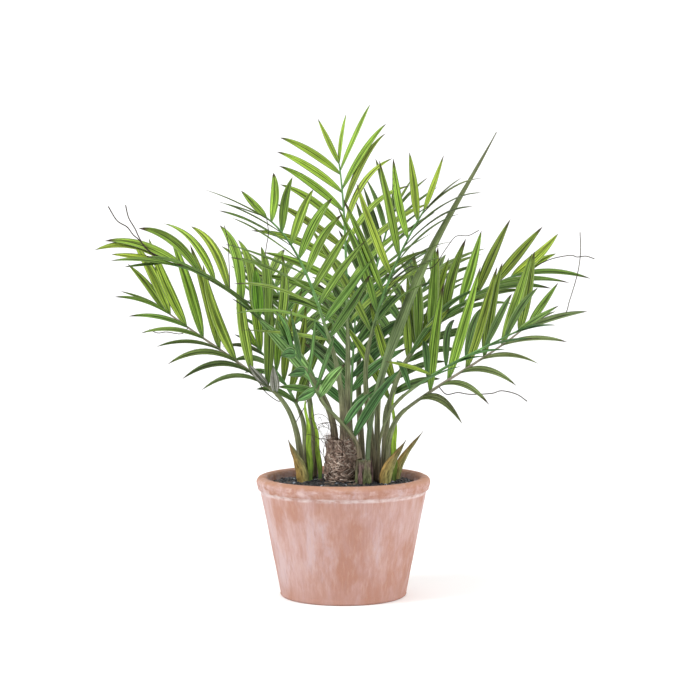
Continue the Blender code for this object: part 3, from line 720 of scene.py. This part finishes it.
def terracotta_material(groups):
    """Pink clay with pale efflorescence towards the left and right sides that is partly painted light,
    long orange streaks down the wall and a chipped lip.
    """
    made, tree, surface = material("weathered terracotta", 0.9, 0.2)
    spot = here(tree)
    axes = add(tree, "ShaderNodeSeparateXYZ", {"Vector": spot}).outputs
    height = axes["Z"]

    def noise_on(scale, patch, grain):
        stretched = add(tree, "ShaderNodeMapping", {"Vector": spot, "Scale": scale})
        return in_group(tree, groups["mottle"], {
            "Vector": stretched.outputs["Vector"], "Patch Size": patch, "Grain Size": grain})

    clouds = noise_on((1.0, 1.0, 0.7), 0.034, 0.0007)
    washes = noise_on((1.0, 1.0, 0.33), 0.024, 0.0030)
    brushed = noise_on((1.0, 1.0, 0.035), 0.0030, 0.0010)
    chips = noise_on((1.0, 1.0, 2.2), 0.012, 0.0016)
    base = blend_of(tree, clouds["Patches"], (0.420, 0.235, 0.185), (0.435, 0.265, 0.240))
    # Painted light: the wall paler towards the left and right sides, where the lamps fall, mixed with
    # patches of whitish efflorescence
    left = ranged(tree, axes["X"], -0.010, -0.075, 0.0, 0.75)
    right = ranged(tree, axes["X"], 0.035, 0.095, 0.0, 0.7)
    bloom_and_side_light = maths(tree, "MULTIPLY", maths(tree, "ADD", left, right),
                  ranged(tree, washes["Patches"], 0.75, 0.25, 0.45, 1.0))
    base = blend_of(tree, bloom_and_side_light, base, (0.510, 0.365, 0.345))
    orange = maths(tree, "MULTIPLY", ranged(tree, washes["Patches"], 0.48, 0.80),
                   ranged(tree, brushed["Patches"], 0.1, 0.9, 0.35, 1.0))
    base = blend_of(tree, orange, base, (0.360, 0.165, 0.105))
    pale = maths(tree, "MULTIPLY", ranged(tree, washes["Patches"], 0.36, 0.08, 0.0, 0.85),
                 ranged(tree, brushed["Patches"], 0.1, 0.9, 1.0, 0.4))
    base = blend_of(tree, pale, base, (0.525, 0.405, 0.415))
    base = blend_of(tree, ranged(tree, brushed["Patches"], 0.50, 0.95, 0.0, 0.4), base,
                    (0.540, 0.390, 0.350))
    base = blend_of(tree, ranged(tree, brushed["Patches"], 0.45, 0.05, 0.0, 0.35), base,
                    (0.330, 0.175, 0.130))
    base = blend_of(tree, ranged(tree, height, 0.022, 0.002, 0.0, 0.5), base,
                    (0.400, 0.215, 0.165))
    lip = ranged(tree, height, LIP_BOTTOM + 0.0005, LIP_BOTTOM + 0.0015)
    worn = maths(tree, "MULTIPLY", lip, ranged(tree, chips["Patches"], 0.55, 0.90, 0.0, 0.55))
    base = blend_of(tree, worn, base, (0.600, 0.450, 0.420))
    rusty = maths(tree, "MULTIPLY", lip, ranged(tree, chips["Patches"], 0.42, 0.10, 0.0, 0.80))
    base = blend_of(tree, rusty, base, (0.340, 0.165, 0.105))
    line = maths(tree, "MULTIPLY", ranged(tree, height, LIP_BOTTOM - 0.0040, LIP_BOTTOM - 0.0020),
                 ranged(tree, height, LIP_BOTTOM + 0.0020, LIP_BOTTOM + 0.0002))
    torn = maths(tree, "MULTIPLY", line, ranged(tree, chips["Patches"], 0.25, 0.75, 0.10, 0.80))
    base = blend_of(tree, torn, base, (0.660, 0.560, 0.550))
    rim = ranged(tree, height, POT_HEIGHT - 0.0060, POT_HEIGHT - 0.0020, 0.0, 0.85)
    rim = maths(tree, "MULTIPLY", rim, ranged(tree, chips["Patches"], 0.90, 0.45, 0.45, 1.0))
    base = blend_of(tree, rim, base, (0.430, 0.230, 0.150))
    tree.links.new(base, surface.inputs["Base Color"])
    heights = maths(tree, "ADD", clouds["Grain"], brushed["Grain"])
    bumped(tree, surface, heights, 0.0004, 0.6)
    return made


# Pieces

def turned(profile, sides):
    """A closed body turned from (radius, height) points that begin and end on the axis."""
    bm = bmesh.new()
    rings = []
    for radius, height in profile:
        if radius == 0:
            rings.append([bm.verts.new((0, 0, height))] * sides)
            continue
        angles = [math.tau * i / sides for i in range(sides)]
        rings.append([bm.verts.new((radius * math.cos(a), radius * math.sin(a), height))
                      for a in angles])
    for lower, upper in zip(rings, rings[1:]):
        for i in range(sides):
            corners = (lower[i - 1], lower[i], upper[i], upper[i - 1])
            bm.faces.new(tuple(dict.fromkeys(corners)))
    return bm


def smooth_mesh(name, bm, finish):
    bmesh.ops.recalc_face_normals(bm, faces=bm.faces)
    mesh = bpy.data.meshes.new(name)
    bm.to_mesh(mesh)
    bm.free()
    mesh.shade_smooth()
    mesh.materials.append(finish)
    return shown(name, mesh)


def arc(centre_radius, centre_height, radius, start, end, count):
    """Points of an arc in the pot's profile, angles in degrees from outward."""
    steps = [math.radians(mix(start, end, i / (count - 1))) for i in range(count)]
    return [(centre_radius + radius * math.cos(a), centre_height + radius * math.sin(a))
            for a in steps]


def straight(start, end, count):
    return [(mix(start[0], end[0], i / count), mix(start[1], end[1], i / count))
            for i in range(1, count)]


def pot_piece(finish):
    """The pot with a rolled lip, its wall a little uneven as thrown clay is."""
    foot = arc(FOOT_RADIUS - FOOT_EDGE, FOOT_EDGE, FOOT_EDGE, -90, 5, 5)
    under = (WALL_TOP_RADIUS, LIP_BOTTOM - 0.0015)
    lip = [
        (WALL_TOP_RADIUS + 0.0006, LIP_BOTTOM), (WALL_TOP_RADIUS + 0.0026, LIP_BOTTOM + 0.0012),
        (LIP_RADIUS - 0.0012, LIP_BOTTOM + 0.0045), (LIP_RADIUS - 0.0003, LIP_BOTTOM + 0.0075),
        (LIP_RADIUS, LIP_BOTTOM + 0.0098), (LIP_RADIUS - 0.0006, LIP_BOTTOM + 0.0122),
        (LIP_RADIUS - 0.0021, POT_HEIGHT - 0.0013), (LIP_RADIUS - 0.0045, POT_HEIGHT - 0.0002),
        (LIP_RADIUS - 0.0066, POT_HEIGHT), (MOUTH_RADIUS + 0.0030, POT_HEIGHT - 0.0006),
        (MOUTH_RADIUS + 0.0009, POT_HEIGHT - 0.0022), (MOUTH_RADIUS, POT_HEIGHT - 0.0048),
    ]
    inside = (FLOOR_RADIUS, FLOOR)
    profile = ([(0, 0)] + foot + straight(foot[-1], under, 22) + [under] + lip
               + straight(lip[-1], inside, 8) + [inside, (0, FLOOR)])
    bm = turned(profile, POT_SIDES)
    for vertex in bm.verts:
        spot = vertex.co
        reach = math.hypot(spot.x, spot.y)
        if reach > FLOOR_RADIUS and spot.z > FOOT_EDGE:
            wave = noise.noise(Vector((spot.x * 22, spot.y * 22, spot.z * 30)))
            fine = noise.noise(Vector((spot.x * 110, spot.y * 110, spot.z * 150)))
            push = -0.00045 * (1 + wave) - 0.00018 * (1 + fine)
            if LIP_BOTTOM - 0.001 < spot.z < POT_HEIGHT and reach > MOUTH_RADIUS + 0.002:
                chip = noise.noise(Vector((spot.x * 110, spot.y * 110, spot.z * 80)))
                push -= 0.0013 * max(0.0, chip - 0.12)
                vertex.co.z -= 0.0011 * max(0.0, chip) * (spot.z < LIP_BOTTOM + 0.003)
            vertex.co += Vector((spot.x, spot.y, 0)).normalized() * push
    return piece(smooth_mesh("clay_pot", bm, finish), "terracotta", "pot")


def wall_inside(height):
    return mix(FLOOR_RADIUS, MOUTH_RADIUS, (height - FLOOR) / (POT_HEIGHT - 0.004 - FLOOR))


def soil_height(x, y):
    reach = math.hypot(x, y)
    edge = max(0.0, (reach - SOIL_FLAT_RADIUS) / (wall_inside(SOIL_EDGE) - SOIL_FLAT_RADIUS))
    wave = noise.noise(Vector((x * 90, y * 90, 1.0)))
    return mix(SOIL_TOP, SOIL_EDGE, edge) + 0.0012 * wave - 0.0006


# Crumbs on the soil: darkest and palest colour, roughness, least and most size, and
# how many stand on a square metre
CRUMBS = (
    ("soil_crumbs", (0.004, 0.004, 0.005), (0.034, 0.036, 0.042), 0.38, 0.0010, 0.0030, 52000.0),
    ("soil_grit", (0.260, 0.290, 0.340), (0.640, 0.690, 0.760), 0.55, 0.0013, 0.0026, 9000.0),
    ("soil_bark", (0.075, 0.050, 0.034), (0.240, 0.180, 0.130), 0.80, 0.0012, 0.0034, 6000.0),
)


def crumb_tree():
    """The node tree that strews crumbs over a surface."""
    tree = bpy.data.node_groups.new("strewn crumbs", "GeometryNodeTree")
    face = tree.interface
    face.new_socket("Ground", in_out="INPUT", socket_type="NodeSocketGeometry")
    for label in ("Least Size", "Most Size", "Density"):
        face.new_socket(label, in_out="INPUT", socket_type="NodeSocketFloat")
    face.new_socket("Seed", in_out="INPUT", socket_type="NodeSocketInt")
    face.new_socket("Finish", in_out="INPUT", socket_type="NodeSocketMaterial")
    face.new_socket("Mesh", in_out="OUTPUT", socket_type="NodeSocketGeometry")
    given = tree.nodes.new("NodeGroupInput")
    result = tree.nodes.new("NodeGroupOutput")
    link = tree.links.new
    strewn = tree.nodes.new("GeometryNodeDistributePointsOnFaces")
    link(given.outputs["Ground"], strewn.inputs["Mesh"])
    link(given.outputs["Density"], strewn.inputs["Density"])
    link(given.outputs["Seed"], strewn.inputs["Seed"])
    crumb = tree.nodes.new("GeometryNodeMeshIcoSphere")
    crumb.inputs["Radius"].default_value = 1.0
    crumb.inputs["Subdivisions"].default_value = 1
    turn = tree.nodes.new("FunctionNodeRandomValue")
    turn.data_type = "FLOAT_VECTOR"
    turn.inputs[1].default_value = (math.tau, math.tau, math.tau)
    size = tree.nodes.new("FunctionNodeRandomValue")
    size.data_type = "FLOAT"
    link(given.outputs["Least Size"], size.inputs[2])
    link(given.outputs["Most Size"], size.inputs[3])
    placed = tree.nodes.new("GeometryNodeInstanceOnPoints")
    link(strewn.outputs["Points"], placed.inputs["Points"])
    link(crumb.outputs["Mesh"], placed.inputs["Instance"])
    link(turn.outputs[0], placed.inputs["Rotation"])
    link(size.outputs[1], placed.inputs["Scale"])
    real = tree.nodes.new("GeometryNodeRealizeInstances")
    link(placed.outputs["Instances"], real.inputs["Geometry"])
    finish = tree.nodes.new("GeometryNodeSetMaterial")
    link(real.outputs["Geometry"], finish.inputs["Geometry"])
    link(given.outputs["Finish"], finish.inputs["Material"])
    link(finish.outputs["Geometry"], result.inputs["Mesh"])
    return tree


def soil_piece(groups):
    """The plug of soil and, on it, crumbs, pale grit and bits of bark."""
    finish = soil_material("potting soil", groups, (0.006, 0.006, 0.007), (0.030, 0.030, 0.032), 0.7)
    top = [(wall_inside(SOIL_EDGE) - GAP, SOIL_EDGE - 0.002)]
    top += [(mix(wall_inside(SOIL_EDGE) - GAP, 0.004, i / 26), SOIL_TOP) for i in range(1, 26)]
    profile = [(0, FLOOR + GAP), (wall_inside(FLOOR + GAP) - GAP, FLOOR + GAP)] + top + [(0, SOIL_TOP)]
    bm = turned(profile, 96)
    for vertex in bm.verts:
        if vertex.co.z > SOIL_EDGE - 0.003:
            vertex.co.z = soil_height(vertex.co.x, vertex.co.y)
    ground = bpy.data.meshes.new("ground")
    upper = bm.copy()
    low = [face for face in upper.faces if face.calc_center_median().z < SOIL_EDGE - 0.002]
    bmesh.ops.delete(upper, geom=low, context="FACES")
    upper.to_mesh(ground)
    upper.free()
    piece(smooth_mesh("soil_plug", bm, finish), "soil", "soil")
    tree = crumb_tree()
    for name, low, high, gloss, least, most, density in CRUMBS:
        crumbs = with_tree(
            name, ground, tree,
            **{"Least Size": least, "Most Size": most, "Density": density,
               "Seed": len(name), "Finish": soil_material(name, groups, low, high, gloss)})
        for vertex in crumbs.data.vertices:
            reach = math.hypot(vertex.co.x, vertex.co.y)
            edge = wall_inside(SOIL_EDGE) - GAP
            if reach > edge:
                vertex.co.x *= edge / reach
                vertex.co.y *= edge / reach
        piece(crumbs, "soil")


def leaf_half(t):
    """Half a leaflet's width at t, as a part of its most: narrow foot, pointed end."""
    return max(0.2 * (1 - t), math.sin(math.pi * t**0.7) ** 0.75 if 0 < t < 1 else 0.02)


def lone_leaf(axis, lone, parts):
    """The points and upper faces of a leaf that stands out of its row."""
    start = (axis.rib_at if lone.line == "rib" else axis.petiole_at)(lone.t)[0]
    reach = Vector(lone.tip) - start
    flat = reach.cross(axis.facing).normalized()
    above = flat.cross(reach).normalized()
    bow = lone.bow * reach.length
    points = [start + reach * t + UP * (bow * math.sin(math.pi * t)) for t in parts]
    return points, [above] * len(parts)


def frond_pieces(number, frond, axis, tree, sections, leaf, stalk):
    """The frond's petiole, and its rib with finer leaflets."""
    dice = random.Random(700 + number)
    steps = [i / 20 for i in range(21)]
    stem = Lines()
    points = [axis.petiole_at(t)[0] for t in steps]
    halves = [mix(FOOT_THICK * frond.stout, SHOULDER_THICK, t) for t in steps]
    brown, olive = Vector((0.100, 0.080, 0.052)), Vector((0.098, 0.118, 0.052))
    tints = [tuple(brown.lerp(olive, min(1.0, t * 1.6))) for t in steps]
    stem.add(points, halves, [axis.facing] * 21, tints, dice.random())
    made = with_tree("stalk_" + frond.name, stem.mesh("stalk_" + frond.name), tree,
                     Section=sections["round"], Finish=stalk)
    piece(made, "stem", "petiole_" + frond.name)

    lines = Lines()
    low = frond.name in ("left_low", "right_low")
    green = Vector((0.170, 0.155, 0.110) if low else (0.080, 0.170, 0.050))
    points = [axis.rib_at(t)[0] for t in steps]
    halves = [mix(SHOULDER_THICK, RIB_TIP_THICK, t) * 0.85 for t in steps]
    tints = [tuple(olive.lerp(green, min(1.0, t * 3))) for t in steps]
    lines.add(points, halves, [axis.facing] * 21, tints, dice.random())
    rib = with_tree("rib_" + frond.name, lines.mesh("rib_" + frond.name), tree,
                    Section=sections["round"], Finish=stalk)

    blades = Lines()
    parts = [i / 13 for i in range(14)]
    solid = points_of("frond_" + frond.name)
    for leaflet in leaflets_of(frond, number):
        course = settled(axis, leaflet, solid)
        if course is None:
            continue
        curl = dice.uniform(-0.045, 0.045) * course.length
        twist = dice.uniform(-0.45, 0.45)
        points = [course.at(t) + course.flat * (curl * math.sin(math.pi * t)) for t in parts]
        faces = [Quaternion(course.heading, twist * t * t) @ course.above for t in parts]
        halves = [leaf_half(t) * leaflet.width / 2 for t in parts]
        row = frond.right if leaflet.hand > 0 else frond.left
        # Shoulder colour to tip colour: the darker shoulders are partly painted shade inside the crown
        colour = Vector(SPRAYS[row.spray]).lerp(Vector(SPRAYS[row.tip_spray]), leaflet.t)
        blades.add(points, halves, faces, sprayed(colour, dice), dice.random())
    for lone in LONE_LEAVES:
        if lone.frond == frond.name:
            points, faces = lone_leaf(axis, lone, parts)
            halves = [leaf_half(t) * lone.width / 2 for t in parts]
            blades.add(points, halves, faces, SPRAYS[lone.spray], dice.random())
    leaves = with_tree("leaves_" + frond.name, blades.mesh("leaves_" + frond.name), tree,
                       Section=sections["leaf"], Finish=leaf)
    piece(rib, "leaf", "frond_" + frond.name)
    piece(leaves, "leaf", "frond_" + frond.name)


def sprayed(colour, dice):
    """The colour, a little brighter or darker and yellower or greener than the row's."""
    depth = dice.uniform(0.60, 1.45)
    return (colour.x * depth * dice.uniform(0.88, 1.14), colour.y * depth, colour.z * depth)


def standing_piece(blade, outline, tint, tree, shape, finish, slot, wave=0.0):
    """A sheath or young leaf on the soil; wave is how far it wavers from side to side."""
    steps = [i / 16 for i in range(17)]
    foot, tip = Vector(blade.foot), Vector(blade.tip)
    height = (tip - foot).length
    lean = ((tip - foot).normalized() - blade.bow * UP).normalized()
    pulls = (foot, UP * height, tip, lean * height)
    lines = Lines()
    points = [hermite(*pulls, t) + Vector((wave * math.sin(13 * t) * t, 0, 0)) for t in steps]
    halves = [graded(outline, t) * blade.width / 2 for t in steps]
    lines.add(points, halves, [Vector(blade.facing)] * 17, tint, len(blade.name) / 29)
    made = with_tree(blade.name + "_fine", lines.mesh(blade.name), tree,
                     Section=shape, Finish=finish)
    return piece(made, slot, blade.name)


def spear_at(t):
    """The rolled leaf's place at t, on two curves that meet at its waist."""
    lower, upper = SPEAR_WAIST - SPEAR_FOOT, SPEAR_TIP - SPEAR_WAIST
    lean = (lower.normalized() + upper.normalized()).normalized()
    if t < 0.5:
        return hermite(SPEAR_FOOT, UP * lower.length, SPEAR_WAIST, lean * lower.length, 2 * t)
    return hermite(SPEAR_WAIST, lean * upper.length, SPEAR_TIP, upper, 2 * t - 1)


def spear_piece(tree, shape, finish):
    steps = [i / 40 for i in range(41)]
    table = [(i / 8, thick) for i, thick in enumerate(SPEAR_THICK)]
    lines = Lines()
    low, high = Vector((0.066, 0.098, 0.046)), Vector((0.105, 0.145, 0.038))
    end = Vector((0.055, 0.058, 0.030))
    tints = [tuple(low.lerp(high, t).lerp(end, max(0.0, 2.2 * t - 1.2))) for t in steps]
    lines.add([spear_at(t) for t in steps], [graded(table, t) for t in steps],
              [Vector((0.3, -1, 0))] * 41, tints, 0.4)
    made = with_tree("rolled_leaf", lines.mesh("rolled_leaf"), tree, Section=shape, Finish=finish)
    return piece(made, "stem", "spear_leaf")


def stub_reach(part):
    """The stub's radius at a part of its height."""
    return graded([(i / 4, radius) for i, radius in enumerate(STUB_RADII)], min(1.0, part))


def stub_spot(angle, reach, part):
    return STUB_PLACE + Vector((
        reach * math.cos(angle), reach * math.sin(angle), part * STUB_HEIGHT))


def stub_piece(tree, shape, finish):
    """The stub's core, the fibres wound round it, and ragged ends and curls that stray."""
    dice = random.Random(31)
    rings = [(0, 0)] + [(stub_reach(t) * 0.90, t * STUB_HEIGHT * 0.98)
                        for t in [i / 20 for i in range(21)]] + [(0, STUB_HEIGHT * 0.98)]
    bm = turned(rings, 48)
    for vertex in bm.verts:
        rough = noise.noise(vertex.co * 260)
        flat = Vector((vertex.co.x, vertex.co.y, 0))
        if flat.length > 0.001:
            vertex.co += flat.normalized() * (0.0016 * rough)
        vertex.co += STUB_PLACE
    layer = bm.loops.layers.float_color.new("tint")
    for face in bm.faces:
        for loop in face.loops:
            loop[layer] = (0.260, 0.195, 0.155, 1.0)
    core = smooth_mesh("stub_core", bm, finish)
    lines = Lines()
    browns = ((0.640, 0.500, 0.410), (0.420, 0.310, 0.250), (0.820, 0.700, 0.600),
              (0.340, 0.240, 0.190))
    for strand in range(430):
        angle = dice.uniform(0, math.tau)
        height = dice.uniform(0.0, 0.95)
        slant = dice.uniform(-0.9, 0.9)
        rise = dice.uniform(-0.35, 0.60)
        lift = dice.uniform(0.0, 0.0026)
        points = []
        for i in range(7):
            t = i / 6
            at = min(1.0, max(0.02, height + rise * t))
            reach = stub_reach(at) * 0.93 + lift * math.sin(math.pi * t) + 0.0003
            points.append(stub_spot(angle + slant * t + 0.15 * math.sin(9 * t + strand), reach, at))
        lines.add(points, [dice.uniform(0.00030, 0.00080)] * 7, [UP] * 7, dice.choice(browns))
    for strand in range(150):
        angle = dice.uniform(0, math.tau)
        start = dice.uniform(0.25, 0.90)
        end = dice.uniform(0.92, 1.20)
        flare = dice.uniform(0.0005, 0.0075)
        points = []
        for i in range(8):
            t = i / 7
            at = mix(start, end, t)
            reach = stub_reach(at) * 0.94 + flare * t * t
            points.append(stub_spot(angle + 0.25 * math.sin(4 * t + strand), reach, at))
        thick = dice.uniform(0.00025, 0.0006)
        halves = [thick * (1 - 0.6 * i / 7) for i in range(8)]
        lines.add(points, halves, [UP] * 8, dice.choice(browns))
    for strand in range(22):
        angle = dice.uniform(2.4, 5.6)
        start = dice.uniform(0.35, 0.95)
        lean = dice.uniform(-0.022, 0.002)
        climb = dice.uniform(0.015, 0.045)
        swing = dice.uniform(0.003, 0.008)
        spin = dice.uniform(2.5, 5.5)
        foot = stub_spot(angle, stub_reach(start) * 0.93, start)
        points = []
        for i in range(18):
            t = i / 17
            round_by = spin * t + strand
            drift = Vector((lean * t, -0.010 * t, climb * math.sin(1.9 * t)))
            sway = Vector((math.sin(round_by) - math.sin(strand),
                           0.6 * (math.cos(round_by) - math.cos(strand)), 0)) * swing
            points.append(foot + drift + sway)
        lines.add(points, [0.00038] * 18, [UP] * 18, (0.090, 0.065, 0.050))
    strands = with_tree("stub_fibres", lines.mesh("stub_fibres"), tree,
                        Section=shape, Finish=finish)
    piece(core, "fibre", "trunk_stub")
    piece(strands, "fibre", "trunk_stub")


def side_stem_piece(tree, shape, husk_shape, finish):
    """The side stem, in the torn husks that clasp it."""
    table = [(i / 2, r) for i, r in enumerate(SIDE_STEM_RADII)]
    steps = [i / 14 for i in range(15)]
    lines = Lines()
    green, purple = Vector((0.060, 0.075, 0.028)), Vector((0.120, 0.075, 0.070))
    tints = [tuple(green.lerp(purple, 0.8 * math.exp(-((t - 0.72) / 0.22) ** 2))) for t in steps]
    lines.add([SIDE_STEM_PLACE + UP * (t * SIDE_STEM_HEIGHT) for t in steps],
              [graded(table, t) for t in steps], [Vector((0, -1, 0))] * 15, tints)
    made = with_tree("side_stem_fine", lines.mesh("side_stem_fine"), tree,
                     Section=shape, Finish=finish)
    piece(made, "stem", "side_stem")

    dice = random.Random(17)
    husks = Lines()
    for number in range(9):
        angle = math.tau * number / 9 + dice.uniform(-0.2, 0.2)
        out = Vector((math.cos(angle), math.sin(angle), 0))
        top = SIDE_STEM_HEIGHT + dice.uniform(-0.008, 0.009)
        places = [SIDE_STEM_PLACE + out * (0.0084 + 0.0006 * math.sin(math.pi * t)
                                           - 0.0006 * t) + UP * (top * t) for t in steps]
        broad = dice.uniform(0.0034, 0.0046)
        halves = [broad * graded(SHEATH_OUTLINE, t) for t in steps]
        shade = dice.choice((green * 1.2, purple * 1.1, green * 1.7))
        tints = [tuple(shade.lerp(purple, 0.7 * t)) for t in steps]
        husks.add(places, halves, [out] * 15, tints, dice.random())
    made = with_tree("side_stem_husks", husks.mesh("side_stem_husks"), tree,
                     Section=husk_shape, Finish=finish)
    piece(made, "stem")


# Brown wires that stray from the crown. Each starts on a frond's line, at t, and goes
# through places so many millimetres right and up of its start.
Thread = namedtuple("Thread", "frond line t half ways")
THREADS = (
    Thread("left_high", "rib", 1.00, 0.00065,
           ((-16, 15), (-27, 27), (-33, 32), (-40, 41), (-51, 48), (-61, 64))),
    Thread("left_high", "rib", 0.97, 0.00065,
           ((-15, 11), (-25, 19), (-32, 31), (-36, 40), (-43, 52), (-46, 66))),
    Thread("left_high", "rib", 0.50, 0.00045, ((-1, 34), (-2, 56), (-6, 75))),
    Thread("left_low", "petiole", 0.90, 0.00050, ((-6, 0), (-19, 10), (-26, 21), (-23, 33))),
    Thread("left_low", "petiole", 0.60, 0.00045, ((7, 12), (13, 24), (19, 42), (14, 55))),
    Thread("left_low", "rib", 0.78, 0.00050, ((-8, -7), (-25, -5), (-35, -6), (-45, -2))),
    Thread("front_left", "rib", 1.00, 0.00045, ((2, -16), (0, -30), (-2, -44))),
    Thread("right_high", "rib", 1.00, 0.00055,
           ((17, 9), (35, 17), (56, 21), (64, 19), (74, 20), (84, 17))),
    Thread("right_low", "rib", 1.00, 0.00050,
           ((19, 5), (40, 11), (46, 27), (55, 58), (58, 82), (57, 104))),
    Thread("right_low", "rib", 0.27, 0.00060,
           ((9, -9), (22, -7), (36, -9), (60, -8), (72, -5), (89, -9), (101, -17))),
    Thread("centre_right", "rib", 0.40, 0.00045,
           ((25, 22), (51, 22), (66, 42), (78, 57), (92, 58), (104, 64))),
)


def through(places, count):
    """A smooth line through the places, with count points from each to the next."""
    row = [2 * places[0] - places[1], *places, 2 * places[-1] - places[-2]]
    line = []
    for one, two, three, four in zip(row, row[1:], row[2:], row[3:]):
        pulls = (two, (three - one) / 2, three, (four - two) / 2)
        line += [hermite(*pulls, i / count) for i in range(count)]
    return line + [places[-1]]


def thread_piece(axes, tree, shape, finish):
    dice = random.Random(5)
    lines = Lines()
    for thread in THREADS:
        axis = axes[thread.frond]
        start = (axis.rib_at if thread.line == "rib" else axis.petiole_at)(thread.t)[0]
        places = [start] + [
            start + Vector((right, dice.uniform(-2.5, 1.0), up)) / 1000
            for right, up in thread.ways]
        line = through(places, 5)
        lines.add(line, [thread.half] * len(line), [Vector((0, -1, 0))] * len(line),
                  (0.060, 0.045, 0.035))
    made = with_tree("stray_threads", lines.mesh("stray_threads"), tree,
                     Section=shape, Finish=finish)
    return piece(made, "fibre")


def plant():
    tree = sweep_tree()
    groups = {"mottle": mottle_group(), "veins": vein_group(), "streaks": streak_group()}
    leaf = leaf_material("plastic leaf", groups, 0.48, 2.3, 0.85)
    young = stem_material("young leaf", groups, 0.45)
    stalk = stem_material("olive stalk", groups, 0.55)
    husk = stem_material("dry sheath", groups, 0.6, ((1.18, 0.94, 0.66), (0.82, 1.00, 0.85)))
    fibre = fibre_material(groups)
    sections = {
        "leaf": section("leaf_section", (
            (-1.0, 0.20), (-0.5, 0.04), (0.0, -0.06), (0.5, 0.04), (1.0, 0.20), (0.0, -0.16))),
        "round": round_section("round_section", 12),
        "thread": round_section("thread_section", 4),
        "young": section("young_section", (
            (-1.0, 0.35), (-0.5, 0.06), (0.0, -0.10), (0.5, 0.06), (1.0, 0.35), (0.0, -0.28))),
        "sheath": section("sheath_section", (
            (-1.0, -0.10), (-0.8, 0.22), (-0.4, 0.42), (0.0, 0.48), (0.4, 0.42), (0.8, 0.22),
            (1.0, -0.10), (0.6, 0.0), (0.0, 0.12), (-0.6, 0.0))),
        "rolled": section("rolled_section", tuple(
            ((1 - 0.10 * (i % 2)) * math.sin(math.tau * i / 14),
             (1 - 0.10 * (i % 2)) * math.cos(math.tau * i / 14)) for i in range(14))),
    }
    axes = {frond.name: Axis(frond) for frond in FRONDS}
    for number, frond in enumerate(FRONDS):
        frond_pieces(number, frond, axes[frond.name], tree, sections, leaf, stalk)
    for blade in SHEATHS:
        tints = [tuple(Vector((0.205, 0.170, 0.068)).lerp(Vector((0.070, 0.058, 0.034)), t**2))
                 for t in [i / 16 for i in range(17)]]
        standing_piece(blade, SHEATH_OUTLINE, tints, tree, sections["sheath"], husk, "sheath")
    for blade in YOUNG_LEAVES:
        tints = [tuple(Vector((0.095, 0.150, 0.035)).lerp(
                     Vector((0.190, 0.310, 0.028)), min(1.0, 2.5 * i / 16)))
                 for i in range(17)]
        standing_piece(blade, YOUNG_OUTLINE, tints, tree, sections["young"],
                       young, "young", 0.0018)
    spear_piece(tree, sections["rolled"], stalk)
    stub_piece(tree, sections["thread"], fibre)
    side_stem_piece(tree, sections["round"], sections["young"], stalk)
    thread_piece(axes, tree, sections["thread"], fibre)
    soil_piece(groups)
    pot_piece(terracotta_material(groups))


# Stage

def backdrop():
    """A pale floor that curves up into a pale wall."""
    bm = bmesh.new()
    rows = [(-6.0, 0.0), (1.5, 0.0)]
    rows += [(1.5 + 1.5 * math.sin(math.radians(a)), 1.5 - 1.5 * math.cos(math.radians(a)))
             for a in range(10, 91, 10)]
    rows += [(3.0, 6.0)]
    lines = [[bm.verts.new((x, y, z)) for x in (-6.0, 6.0)] for y, z in rows]
    for lower, upper in zip(lines, lines[1:]):
        bm.faces.new((lower[0], lower[1], upper[1], upper[0]))
    made, tree, surface = material("studio paper", 0.9, 0.1)
    surface.inputs["Base Color"].default_value = (0.97, 0.97, 0.97, 1)
    smooth_mesh("studio_floor", bm, made)


def lamp(name, place, target, size, power):
    light = bpy.data.lights.new(name, "AREA")
    light.shape = "DISK"
    light.size = size
    light.energy = power
    obj = bpy.data.objects.new(name, light)
    obj.location = place
    obj.rotation_euler = (Vector(target) - Vector(place)).to_track_quat("-Z", "Y").to_euler()
    bpy.context.scene.collection.objects.link(obj)


def studio():
    scene = bpy.context.scene
    world = bpy.data.worlds.new("studio")
    world.use_nodes = True
    world.node_tree.nodes["Background"].inputs["Color"].default_value = (1, 1, 1, 1)
    world.node_tree.nodes["Background"].inputs["Strength"].default_value = 0.84
    scene.world = world
    scene.view_settings.view_transform = "Standard"
    lamp("key", (-2.2, -1.0, 2.0), (0, 0, 0.3), 1.6, 66)
    lamp("fill", (2.3, -0.9, 1.4), (0, 0, 0.3), 1.8, 44)
    camera = bpy.data.cameras.new("camera")
    camera.sensor_width = 36
    camera.lens = 36 * 1930 / 700
    obj = bpy.data.objects.new("camera", camera)
    obj.location = (0.0076, -2.2, 0.425)
    obj.rotation_euler = (math.radians(90 - 3.73), 0, 0)
    scene.collection.objects.link(obj)
    scene.camera = obj


plant()
backdrop()
studio()
